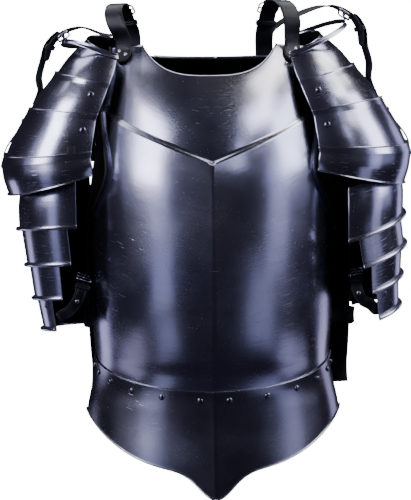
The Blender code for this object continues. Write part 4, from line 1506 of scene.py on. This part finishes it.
@dataclass(frozen=True)
class ShoulderDefence:
    """One shoulder: a strip and four lames of the dome, four arm lames, and their rivets."""

    side: Side
    wall: float = 0.0012
    gap: float = 0.00035
    cop_width: float = 0.206
    cop_depth: float = 0.206
    cop_height: float = 0.175
    cop_out: float = 0.185
    overlap: float = 0.007
    bulge: float = 0.003
    arm_width: float = 0.160
    arm_depth: float = 0.164
    arm_lap: float = 0.014
    arm_taper: float = 0.0059
    arm_top: float = 0.075
    roll: float = 0.0020
    strip_reach: float = 0.033
    strip_height: float = 0.007
    strip_lap: float = 0.004
    strip_room: float = 1.7
    strip_flare: float = 0.7
    lap_room: float = 1.45
    inner_room: float = 2.1
    columns: int = 150
    leather_thick: float = LEATHER_THICK
    spaces: tuple[tuple[str, float, float], ...] = (
        ("front", 0.035, 0.13), ("centre", 0.46, 0.54), ("rear", 0.87, 0.965))
    front_rivets: tuple[tuple[int, float], ...] = ((2, 0.40), (3, 0.15))
    rings: tuple[Ring, ...] = (
        Ring(0.675, 0.390, 0.485, 0.006, 0.35, 0.28, 104, 100),
        Ring(0.773, 0.708, 0.716, 0.330, 0.254, 0.05, 101, 100),
        Ring(0.898, 0.869, 0.863, 0.592, 0.159, 0.03, 103, 102),
        Ring(1.012, 1.035, 1.000, 0.872, -0.04, 0.10, 109, 106),
        Ring(1.004, 0.976, 1.010, 1.033, -0.215, 0.11, 111, 107),
    )
    arm_lames: tuple[Lame, ...] = (
        Lame(1.000, 1.000, 106), Lame(0.925, 0.890, 104), Lame(0.825, 0.785, 100),
        Lame(0.715, 0.680, 96))

    def hung(self, out: Array, y: Array, z: Array) -> Array:
        """Points moved to where the dome hangs on its side."""
        z = z - self.side.drop - self.side.tilt * (out - self.cop_out * 0.8)
        return np.stack([self.side.wearer.value * (out + self.side.shift), y, z], axis=-1)

    def dome_ring(self, ring: Ring, turn: Array, grow: float = 0.0, drop: float | None = None,
                  ) -> Array:
        """A ring of the dome: (radius cos, depth sin) in a plane that slopes out and back. With a
        drop it is a line of the strip, which leaves the dome at its middle by the cosine.

        Args:
            ring: The ring's sizes.
            turn: Share of the way round from one end to the other.
            grow: Metres that the ring is made larger.
            drop: The strip's metres below its ring, None on a lame.

        Returns:
            Points.
        """
        angle = np.radians(-ring.front + (ring.front + ring.rear) * turn)
        leaving = 0.0 if drop is None else np.clip(np.cos(angle), 0, 1)
        radius = ring.radius * self.side.width * self.cop_width / 2 + grow
        out = ring.out * self.cop_out + radius * np.cos(angle) + self.strip_reach * leaving
        y = (ring.depth * self.cop_depth / 2 + grow) * np.sin(angle)
        level = -ring.level * self.cop_height
        z = level + ring.slope * (out - ring.out * self.cop_out) + ring.pitch * y
        return self.hung(out, y, z + (self.side.rise + self.side.lean * y) * leaving - (drop or 0))

    def dome_lame(self, number: int, turn: Array) -> tuple[Array, int]:
        """The lines of one lame of the dome from top to bottom, and where its lap ends.

        Args:
            number: The lame, counted from the top.
            turn: Share of the way round from one end to the other.

        Returns:
            The lines, and the line where the lap ends.
        """
        top, bottom = self.rings[number - 1], self.rings[number]
        lines, knee = [], 0
        if number > 1:
            above = self.rings[number - 2]
            lift = (top.level - above.level) * self.cop_height
            lap = above.towards(top, 1 - self.overlap / lift)
            grow = (self.wall + self.gap) * self.lap_room
            lines += [self.dome_ring(lap, turn, grow + self.bulge * 0.6),
                      self.dome_ring(top, turn, grow)]
            knee = 1
        else:
            lines.append(self.dome_ring(top, turn))
        lines.append(self.dome_ring(top.towards(bottom, 0.5), turn, self.bulge))
        lines.append(self.dome_ring(bottom, turn))
        return np.stack(lines), knee

    def surface(self, lame: LameLines, number: int) -> Surface:
        """One lame as a function of row and turn.

        Args:
            lame: dome_lame or arm_lame.
            number: The lame, counted from the top.

        Returns:
            The function. Its rows are counted in the lame's lines.
        """

        def at(rows: Array, turns: Array) -> Array:
            """Points at rows and turns, one for each pair."""
            lines, knee = lame(number, turns)
            return down_rows(lines, rows, knee)[np.arange(len(rows)), np.arange(len(turns))]

        return at

    def strip(self, turn: Array, rows: int) -> Array:
        """The strip above the dome, from its top down over the first lame.

        Args:
            turn: Share of the way round from one end to the other.
            rows: How many lines.

        Returns:
            Points (rows, columns, 3).
        """
        clear = (self.wall + self.gap) * self.strip_room
        drops = np.linspace(self.strip_lap - self.strip_height, self.strip_lap, rows)
        return np.stack([
            self.dome_ring(self.rings[0], turn, clear + max(drop, 0) * self.strip_flare, drop)
            for drop in drops])

    def arm_ring(self, number: int, share: float, turn: Array, grow: float = 0.0,
                 front: float | None = None) -> Array:
        """A ring of an arm lame between its upper edge, share 0, and its lower edge, share 1.

        Args:
            number: The lame, counted from the top.
            share: 0 at the upper edge, 1 at the lower.
            turn: Share of the way round from one end to the other.
            grow: Metres that the ring is made larger.
            front: Front end's angle, if it isn't the lame's own.

        Returns:
            Points.
        """
        lame, hang = self.arm_lames[number - 1], self.side.hangs[number - 1]
        front = front or hang.front
        radius, depth = lame.radius * self.arm_width / 2, lame.depth * self.arm_depth / 2
        rear, out, level = lame.rear, hang.out, hang.level
        if number == 1:
            taper = self.arm_taper * (1 - share)
            radius, depth = radius - taper, depth - taper
            level = level + self.arm_top * (1 - share)
        else:
            upper, above = self.arm_lames[number - 2], self.side.hangs[number - 2]
            start = [upper.radius * self.arm_width / 2, upper.depth * self.arm_depth / 2,
                     upper.rear, above.out, above.level]
            own = [radius, depth, rear, out, level]
            radius, depth, rear, out, level = (a + (b - a) * share for a, b in zip(start, own))
        angle = np.radians(-front + (front + rear) * turn)
        out_points = out + (radius + grow) * np.cos(angle)
        y = (depth + grow) * np.sin(angle)
        z = level + self.side.arm_slope * (out_points - out) + self.side.arm_pitch * y
        return np.stack([self.side.wearer.value * out_points, y, z], axis=-1)

    def arm_drop(self, number: int) -> float:
        """Height that an arm lame adds below the one above it.

        Args:
            number: The lame, counted from the top.

        Returns:
            Metres.
        """
        if number == 1:
            return self.arm_top
        return self.side.hangs[number - 2].level - self.side.hangs[number - 1].level

    def arm_lame(self, number: int, turn: Array) -> tuple[Array, int]:
        """The lines of one arm lame, whose top lies inside the lame above, and its knee.

        Args:
            number: The lame, counted from the top.
            turn: Share of the way round from one end to the other.

        Returns:
            The lines, and the line where the lap ends.
        """
        if number == 1:
            lines = [self.arm_ring(1, 0.0, turn), self.arm_ring(1, 0.5, turn, self.bulge),
                     self.arm_ring(1, 1.0, turn)]
            return np.stack(lines), 0
        inset = -(self.wall + self.gap) * self.inner_room
        share = 1 - self.arm_lap / self.arm_drop(number - 1)
        front = self.side.hangs[number - 1].front
        lines = [self.arm_ring(number - 1, share, turn, inset, front),
                 self.arm_ring(number, 0.0, turn, inset),
                 self.arm_ring(number, 0.5, turn, inset / 2), self.arm_ring(number, 1.0, turn)]
        return np.stack(lines), 1

    def turns(self) -> Array:
        """Columns round a lame, a little crowded towards its ends."""
        return crowded(self.columns) * 0.35 + np.linspace(0, 1, self.columns) * 0.65

    def body(self, lines: Array, knee: int, count: int) -> Array:
        """A lame's grid: even rows over its lap, then count rows that crowd to its edges.

        Args:
            lines: The lame's lines.
            knee: The line where the lap ends.
            count: Rows below the lap.

        Returns:
            Points (rows, columns, 3).
        """
        lap = np.linspace(0, knee, 7)[:-1] if knee else []
        return down_rows(lines, np.concatenate([lap, crowded(count, knee, len(lines) - 1)]), knee)

    def outward(self, patch: Patch) -> Patch:
        """The patch with its faces outwards on this side."""
        return patch.reversed() if self.side.wearer is Wearer.RIGHT else patch

    def worn_patch(self, body: Array, top: float, bottom: float) -> Patch:
        """A lame's grid, with wear at its two ends and at its top and bottom edges.

        Args:
            body: The lame's grid.
            top: Wear of its top edge.
            bottom: Wear of its bottom edge.

        Returns:
            The patch.
        """
        down = running_length(body[:, body.shape[1] // 2])
        across = running_length(body[body.shape[0] // 2])
        upper = rim_wear(down)[:, None] * top
        lower = rim_wear(down[-1] - down)[:, None] * bottom
        ends = rim_wear(np.minimum(across, across[-1] - across))[None] * 0.6
        return Patch(body, np.maximum(np.maximum(upper, lower), ends))

    def build_dome(self, shop: Workshop) -> None:
        """Make the strip and the dome's lames: each grid ends in a small turned lip.

        Args:
            shop: Gives the finishes and takes the pieces.
        """
        word, sign = self.side.wearer.word, self.side.wearer.value
        turn = self.turns()
        strip = self.strip(turn, 9)
        shop.sheet(f"{word}_top_lame", [self.outward(self.worn_patch(strip, 0.8, 0.5))],
                   self.wall, shop.lame_steel)
        for number in range(1, len(self.rings)):
            lines, knee = self.dome_lame(number, turn)
            body = self.body(lines, knee, 30)
            top = rolled(body[0], body[1], 0.0007, sign, turn=110.0, steps=4)
            bottom = rolled(body[-1], body[-2], 0.0011, -sign, turn=140.0, steps=5)
            folded = number == len(self.rings) - 1
            whole = [self.worn_patch(body, 1.0, 1.0 if folded else 0.2),
                     Patch(top[::-1], np.ones(top.shape[:2]), None, True)]
            if folded:
                whole.append(Patch(bottom, np.ones(bottom.shape[:2]), None, True))
            shop.sheet(f"{word}_cop_lame_{number}", [self.outward(patch) for patch in whole],
                       self.wall, shop.lame_steel)

    def build_arm(self, shop: Workshop) -> None:
        """Make the arm lames, each with its lower edge rolled outwards.

        Args:
            shop: Gives the finishes and takes the pieces.
        """
        word, sign = self.side.wearer.word, self.side.wearer.value
        turn = self.turns()
        for number in range(1, len(self.arm_lames) + 1):
            lines, knee = self.arm_lame(number, turn)
            body = self.body(lines, knee, 28)
            roll = rolled(body[-1], body[-2], self.roll, -sign, steps=12)
            whole = [self.worn_patch(body, 0.3, 0.9),
                     Patch(roll, np.full(roll.shape[:2], 0.85), None, True)]
            shop.sheet(f"{word}_arm_lame_{number}", [self.outward(patch) for patch in whole],
                       self.wall, shop.lame_steel)

    def head(
        self, lame: LameLines, number: int, row: float, turn: float, size: RivetHead,
    ) -> Patch:
        """A rivet head standing on a lame.

        Args:
            lame: dome_lame or arm_lame.
            number: The lame, counted from the top.
            row: Place down the lame, counted in its lines.
            turn: Share of the way round from one end to the other.
            size: The head.

        Returns:
            The head in its place.
        """
        point, normal, _ = tangent_frame(self.surface(lame, number), row, turn)
        return size.patch(point, normal * self.side.wearer.value)

    def build_rivets(self, shop: Workshop) -> None:
        """Make the dome's two front rivets, and the smaller heads that hold the leathers.

        Args:
            shop: Gives the finishes and takes the pieces.
        """
        word = self.side.wearer.word
        _, start, end = self.spaces[0]
        large, small = RivetHead(), RivetHead(0.0031, 0.0019)
        heads = [self.head(self.dome_lame, lame, 1.5, start + (end - start) * across, large)
                 for lame, across in self.front_rivets]
        nodes = [f"{word}_cop_rivet_{number}" for number in (1, 2)]
        shop.piece(f"{word}_cop_rivet_heads", heads, shop.rivet, nodes)
        extra = []
        for name, low, high in self.spaces:
            middle = (low + high) / 2
            for number in (2, 3, 4):
                if name != "front" and not (name == "centre" and number == 2):
                    extra.append(self.head(self.dome_lame, number, 1.25, middle, small))
            for number in range(1, len(self.arm_lames) + 1):
                if name == "rear" or (name == "front" and number == 4):
                    extra.append(self.head(self.arm_lame, number, 1.5, middle, small))
        shop.piece(f"{word}_leather_rivet_heads", extra, shop.rivet)

    def build_leathers(self, shop: Workshop) -> None:
        """Make the three straps inside: each runs along the middle of a space of the lames.

        Args:
            shop: Gives the finishes and takes the pieces.
        """
        reach = self.wall + self.gap + self.leather_thick / 2
        inset = -(self.wall + self.gap) * self.inner_room - reach * 1.3
        for name, low, high in self.spaces:
            turn = np.array([low + (high - low) * 0.06, high - (high - low) * 0.06])
            lines = [self.dome_ring(ring, turn, -reach * 1.2) for ring in self.rings[:4]]
            lines += [self.arm_ring(1, -0.10, turn, -reach * 1.4),
                      self.arm_ring(1, 0.4, turn, -reach * 1.3)]
            for number in range(2, len(self.arm_lames) + 1):
                share = 1 - self.arm_lap / self.arm_drop(number - 1)
                front = self.side.hangs[number - 1].front
                lines += [self.arm_ring(number - 1, share, turn, inset, front),
                          self.arm_ring(number, 0.0, turn, inset)]
            lines.append(self.arm_ring(len(self.arm_lames), 0.30, turn, -reach * 2.3))
            grid = np.stack(lines)
            across = unit(grid[:, 1] - grid[:, 0])
            path = StrapLine.through(grid.mean(axis=1), across)
            width = float(np.linalg.norm(grid[:, 1] - grid[:, 0], axis=-1)[3:].min())
            node = f"{self.side.wearer.word}_inner_leather_{name}"
            shop.piece(f"{node}_strap", [Strap(width, self.leather_thick).patch(path)],
                       shop.leather(width), [node])


@dataclass(frozen=True)
class Harness:
    """The outer straps of one side, with their buckles, keepers and rivets."""

    side: Side
    breast: Breastplate
    back: Backplate
    shoulder: ShoulderDefence
    thick: float = LEATHER_THICK
    shoulder_width: float = 0.027
    hanger_width: float = 0.022
    arm_width: float = 0.017
    side_width: float = 0.024
    lift: float = 0.0016
    edge_clear: float = 0.006
    arm_place: float = 0.70
    billet_reach: int = 3
    hanger_turn: float = 0.5775
    hanger_rise: float = 0.004
    hanger_buckle_lift: float = 0.0024

    @property
    def word(self) -> str:
        """The side's name."""
        return self.side.wearer.word

    @property
    def curved_lift(self) -> float:
        """Room under a strap that lies on a curved plate."""
        return self.lift + 0.0005

    def strap(self, shop: Workshop, node: str, points: list, across: list, width: float,
              holes: bool = False) -> StrapLine:
        """Make one strap through points, and return its line.

        Args:
            shop: Gives the finishes and takes the pieces.
            node: The CAD node, after its side.
            points: The places it passes.
            across: Its width direction at each.
            width: Width in metres.
            holes: True if holes are punched in it.

        Returns:
            The strap's line.
        """
        path = StrapLine.through(np.array(points), np.array(across), 170)
        shop.piece(f"{self.word}_{node}_leather", [Strap(width, self.thick).patch(path)],
                   shop.leather(width, holes), [f"{self.word}_{node}"])
        return path

    def fastened(self, shop: Workshop, name: str, path: StrapLine, width: float, share: float,
                 outside: Sequence[float], keepers: Sequence[float],
                 lift: float = 0.0007) -> None:
        """Make a strap's buckle and the leather keepers beside it.

        Args:
            shop: Gives the finishes and takes the pieces.
            name: What the piece is called, after its side.
            path: The strap's line.
            width: Width in metres.
            share: Where on the length the bar crosses.
            outside: A direction that the strap's outer face turns to.
            keepers: Shares of the length where keepers are.
            lift: Room under the wire in metres.
        """
        buckle = Buckle(width, self.thick, lift=lift)
        shop.piece(f"{self.word}_{name}_buckle_wire", buckle.patches(path, share, outside),
                   shop.fitting, [f"{self.word}_{name}_buckle"])
        loops = [buckle.keeper(path, place, 1.0) for place in keepers]
        shop.piece(f"{self.word}_{name}_keepers", loops, shop.leather(buckle.keeper_width))

    def studs(self, shop: Workshop, name: str, path: StrapLine,
              places: Sequence[tuple[float, float]], outside: Sequence[float]) -> None:
        """Rivet heads on a strap's outer face at shares of its length and metres across.

        Args:
            shop: Gives the finishes and takes the pieces.
            name: What the piece is called, after its side.
            path: The strap's line.
            places: Share of the length and metres across, for each.
            outside: A direction that the strap's outer face turns to.
        """
        heads = []
        for share, across in places:
            seat, along, sideways = path.seat(share)
            face = np.cross(sideways, along)
            face = face if np.dot(face, outside) > 0 else -face
            seat = seat + sideways * across + face * self.thick / 2
            heads.append(RivetHead(0.0032, 0.0017, 0.0).patch(seat, face))
        shop.piece(f"{self.word}_{name}_studs", heads, shop.fitting)

    def heels(self, shares: Sequence[float]) -> list[tuple[Array, Array, Array]]:
        """Seats on the backplate's shoulder tab."""
        heel = self.side.shoulder_heel
        return [self.back.seat(self.side.wearer, share, heel) for share in shares]

    def build_shoulder(self, shop: Workshop) -> None:
        """From the breastplate's tab over the shoulder to the backplate's tab.

        Args:
            shop: Gives the finishes and takes the pieces.
        """
        lift = self.lift + self.thick / 2
        feet = [self.breast.seat(down / 3, self.side.shoulder_foot) for down in (0.75, 0.45, 0.12)]
        heels = self.heels((0.06, 0.28, 0.55))
        points = [point + normal * lift for point, normal, _ in feet]
        points += [np.array(point) for point in self.side.shoulder]
        points += [point - normal * lift for point, normal, _ in heels]
        middle = np.array([0.80, 0.30, 0.0])
        across = [feet[0][2]] * 4 + [middle] * 5 + [heels[0][2]] * 4
        path = self.strap(shop, "shoulder_strap", self.side.turned(points),
                          self.side.turned(across), self.shoulder_width)
        self.fastened(shop, "shoulder", path, self.shoulder_width, 12 / 21, (0, 1, 0.2),
                      (0.50, 0.66))
        self.studs(shop, "shoulder", path, ((0.045, -0.005), (0.085, 0.005)), (0, -1, 0.5))

    def build_hanger(self, shop: Workshop) -> None:
        """The strap from the dome up to its buckle, and the billet, which comes from the
        backplate and lies on the strap's inner face, turned to the front.

        Args:
            shop: Gives the finishes and takes the pieces.
        """
        dome, sign = self.shoulder.surface(self.shoulder.dome_lame, 2), self.side.wearer.value
        foot = []
        for down, clear in ((2.58, 0.0), (2.20, 0.0), (1.80, self.hanger_rise)):
            point, normal, flat = tangent_frame(dome, down, self.hanger_turn)
            foot.append(point + normal * sign * (self.curved_lift + self.thick / 2 + clear))
        climb = self.side.turned(self.side.hanger)
        slant, level = self.side.turned([self.side.hanger_slant, self.side.billet_slant])
        hanger = self.strap(shop, "hanger_strap", foot + climb[::-1],
                            [flat] * 3 + [slant] * 4, self.hanger_width)
        lift = self.curved_lift * 2 + self.thick * 1.5
        heels = self.heels((0.50, 0.28))
        points = self.side.turned([point - normal * lift for point, normal, _ in heels])
        points += self.side.turned(self.side.billet)
        tail = np.array(climb[:self.billet_reach])
        outwards = np.cross(np.gradient(tail, axis=0), slant)
        outwards = unit(outwards * sign * np.sign(outwards[1, 0]))
        points += list(tail - outwards * (self.thick + self.curved_lift * 1.3))
        heel_way = self.side.turned([-heels[0][2]])
        rising = self.side.turned([(-0.5, 0.9, 0.0)])
        across = heel_way * 2 + rising * 2 + [level] + [slant] * (self.billet_reach + 1)
        billet = self.strap(shop, "hanger_billet", points, across, self.hanger_width * 0.9, True)
        self.fastened(shop, "hanger", billet, self.hanger_width, 16 / 21, (-sign, -1, 0),
                      (0.89,), self.hanger_buckle_lift)
        self.studs(shop, "hanger", hanger, ((0.06, 0.0), (0.16, 0.0)), (sign, 0, 0.3))

    def build_arm(self, shop: Workshop) -> None:
        """The strap that closes the lowest lame around the arm.

        Args:
            shop: Gives the finishes and takes the pieces.
        """
        last = len(self.shoulder.arm_lames)
        inset = -(self.shoulder.wall + self.curved_lift + self.thick / 2) * 1.4
        turn = np.array([0, 0.035, 0.13, 0.87, 0.965, 1.0])
        ring = self.shoulder.arm_ring(last, self.arm_place, turn, inset)
        slope = unit(self.shoulder.arm_ring(last, self.arm_place - 0.2, turn, inset)
                     - self.shoulder.arm_ring(last, self.arm_place + 0.2, turn, inset))
        points = [ring[2], ring[1], ring[0]] + self.side.turned(self.side.arm)
        points += [ring[-1], ring[-2], ring[-3]]
        slant, face_on = self.side.turned([(0.80, 0.0, 0.6), (0.97, -0.2, 0.1)])
        across = [slope[2], slope[1], slope[0], slant, slant, face_on, face_on, slant, slant]
        across += [slope[-1], slope[-2], slope[-3]]
        path = self.strap(shop, "arm_strap", points, across, self.arm_width)
        self.fastened(shop, "arm", path, self.arm_width, 9 / 21, (0, -1, 0), (0.36, 0.50))
        self.studs(shop, "arm", path, ((0.27, 0.0), (0.56, 0.0)), (0, -1, 0))

    def build_side(self, shop: Workshop) -> None:
        """From inside the breastplate's side edge, past both edges, outside the backplate.

        Args:
            shop: Gives the finishes and takes the pieces.
        """
        shift = np.array([self.back.shift * self.side.wearer.value, 0, 0])
        lift = self.curved_lift + self.thick / 2
        first, last = 0.8633, 0.84
        starts = [tangent_frame(self.breast.lower, 11.5, first + (1 - first) * share * 0.999)
                  for share in (0.15, 0.80, 1.0)]
        ends = [tangent_frame(self.back.surface, 9.0, last + (1 - last) * share * 0.999)
                for share in (1.0, 0.85, 0.20)]
        points = [point - normal * (self.breast.wall + lift) for point, normal, _ in starts]
        points[-1] = points[-1] + starts[-1][2] * self.edge_clear
        others = [point - normal * lift + shift for point, normal, _ in ends]
        others[0] = others[0] + ends[0][2] * self.edge_clear
        path = self.strap(shop, "side_strap", self.side.turned(points + others), [UP] * 6,
                          self.side_width, True)
        self.studs(shop, "side", path, ((0.90, 0.006), (0.90, -0.006)), (0, 1, 0))


@dataclass(frozen=True)
class Softbox:
    """A soft rectangular lamp on a sphere round the object, turned to its centre."""

    name: str
    azimuth: float
    elevation: float
    width: float
    height: float
    power: float
    colour: Colour = (1.0, 1.0, 1.0)
    distance: float = 2.6

    def build(self, centre: Vector) -> None:
        """Place the lamp: azimuth 0 stands in front, 90 at the wearer's left.

        Args:
            centre: What it is turned to.
        """
        way = direction(self.azimuth, self.elevation)
        lamp = bpy.data.lights.new(self.name, "AREA")
        lamp.shape = "RECTANGLE"
        lamp.size, lamp.size_y = self.width, self.height
        lamp.energy = self.power
        lamp.color = self.colour
        made = added(self.name, lamp)
        made.location = centre + way * self.distance
        made.rotation_euler = way.to_track_quat("Z", "Y").to_euler()
        made.visible_camera = False


@dataclass(frozen=True)
class Studio:
    """A white room with a pale floor, soft lamps and the photograph's camera."""

    centre: tuple[float, float, float] = (-0.0085, 0.0, -0.303)
    distance: float = 2.2
    focal: float = 107.03
    azimuth: float = -1.0
    elevation: float = 4.0
    roll: float = -0.7
    floor_height: float = -0.86
    floor_half: float = 30.0
    white_strength: float = 16.0
    dim_strength: float = 0.035
    lamps: tuple[Softbox, ...] = (
        Softbox("left_strip", -54.0, 26.0, 0.90, 1.35, 31.0, (0.84, 0.84, 1.0)),
        Softbox("left_middle", -44.0, 1.0, 0.75, 1.80, 2.8, (0.62, 0.64, 1.0)),
        Softbox("left_low", -42.0, -30.0, 0.60, 0.80, 0.7, (0.62, 0.64, 1.0)),
        Softbox("left_wash", -60.0, 20.0, 2.10, 1.80, 4.6, (0.66, 0.66, 1.0), 2.8),
        Softbox("left_floor", -80.0, -31.0, 1.40, 0.60, 1.5, (0.70, 0.68, 1.0)),
        Softbox("left_high", -56.0, 41.0, 0.95, 0.30, 5.0, (0.88, 0.88, 1.0)),
        Softbox("left_top", -104.0, 58.0, 1.00, 0.90, 7.0, (0.86, 0.86, 1.0)),
        Softbox("left_fill", -118.0, -24.0, 0.90, 1.50, 5.6, (0.70, 0.66, 1.0)),
        Softbox("right_strip", 72.0, 28.0, 1.00, 1.25, 20.0, (0.84, 0.84, 1.0)),
        Softbox("right_middle", 57.0, 6.0, 0.85, 1.50, 2.6, (0.62, 0.64, 1.0)),
        Softbox("right_low", 44.0, -20.0, 0.85, 1.20, 1.5, (0.62, 0.64, 1.0)),
        Softbox("right_wash", 72.0, 18.0, 2.10, 1.80, 4.2, (0.66, 0.66, 1.0), 2.8),
        Softbox("right_floor", 78.0, -31.0, 1.40, 0.60, 1.5, (0.70, 0.68, 1.0)),
        Softbox("right_high", 50.0, 45.0, 0.90, 0.50, 8.0, (0.90, 0.90, 1.0)),
        Softbox("right_streak", 28.0, 30.0, 0.24, 0.60, 1.0, (0.76, 0.78, 1.0)),
        Softbox("right_top", 104.0, 58.0, 1.00, 0.90, 7.0, (0.86, 0.86, 1.0)),
        Softbox("right_fill", 124.0, 0.0, 0.90, 2.40, 7.0, (0.70, 0.66, 1.0)),
        Softbox("warm_top", 76.0, 58.0, 1.20, 0.70, 12.0, (1.0, 0.95, 0.84)),
        Softbox("back_top", 180.0, 66.0, 2.2, 1.0, 30.0, (0.88, 0.88, 1.0)),
    )

    def build_camera(self) -> None:
        """Stand the camera where the photograph's was, rolled a little."""
        azimuth, roll = math.radians(self.azimuth), math.radians(self.roll)
        back = direction(self.azimuth, self.elevation)
        across = Vector((math.cos(azimuth), math.sin(azimuth), 0.0))
        upright = back.cross(across)
        right = across * math.cos(roll) + upright * math.sin(roll)
        up = upright * math.cos(roll) - across * math.sin(roll)
        lens = bpy.data.cameras.new("camera")
        lens.lens = self.focal
        lens.sensor_width = 36.0
        camera = added("camera", lens)
        turned = Matrix((right, up, back)).transposed().to_4x4()
        turned.translation = Vector(self.centre) + back * self.distance
        camera.matrix_world = turned
        bpy.context.scene.camera = camera

    def build_room(self) -> None:
        """Make the pale floor and a world that is white behind the object and dim around it."""
        mesh = bpy.data.meshes.new("floor")
        half = self.floor_half
        corners = [(x, y, self.floor_height)
                   for x, y in ((-half, -half), (half, -half), (half, half), (-half, half))]
        mesh.from_pydata(corners, [], [(0, 1, 2, 3)])
        floor = added("floor", mesh)
        graph = Graph("pale_floor")
        mesh.materials.append(graph.dress(
            Base_Color=(0.95, 0.95, 0.96, 1.0), Roughness=0.9,
            Emission_Color=(1.0, 1.0, 1.0, 1.0), Emission_Strength=self.white_strength))
        floor.visible_glossy = False
        floor.visible_diffuse = False
        world = bpy.data.worlds.new("room")
        bpy.context.scene.world = world
        world.use_nodes = True
        tree = world.node_tree
        seen = tree.nodes.new("ShaderNodeLightPath")
        white, dim = tree.nodes["Background"], tree.nodes.new("ShaderNodeBackground")
        white.inputs["Color"].default_value = (1.0, 1.0, 1.0, 1.0)
        white.inputs["Strength"].default_value = self.white_strength
        dim.inputs["Color"].default_value = (0.36, 0.34, 0.55, 1.0)
        dim.inputs["Strength"].default_value = self.dim_strength
        either = tree.nodes.new("ShaderNodeMixShader")
        tree.links.new(seen.outputs["Is Camera Ray"], either.inputs[0])
        tree.links.new(dim.outputs[0], either.inputs[1])
        tree.links.new(white.outputs[0], either.inputs[2])
        tree.links.new(either.outputs[0], tree.nodes["World Output"].inputs["Surface"])

    def build(self) -> None:
        """Camera, room and lamps."""
        self.build_camera()
        self.build_room()
        for lamp in self.lamps:
            lamp.build(Vector(self.centre))


def main() -> None:
    """Build the studio and every sub-assembly in order."""
    logging.basicConfig(level=logging.INFO, format="%(name)s: %(message)s")
    Studio().build()
    shop = Workshop()
    torso = Torso()
    breast = Breastplate(torso)
    breast.build(shop)
    back = Backplate(torso)
    back.build(shop)
    Fauld(breast).build(shop)
    for side in SIDES:
        shoulder = ShoulderDefence(side)
        shoulder.build_dome(shop)
        shoulder.build_arm(shop)
        shoulder.build_rivets(shop)
        shoulder.build_leathers(shop)
        harness = Harness(side, breast, back, shoulder)
        harness.build_shoulder(shop)
        harness.build_hanger(shop)
        harness.build_arm(shop)
        harness.build_side(shop)


if __name__ == "__main__":
    main()
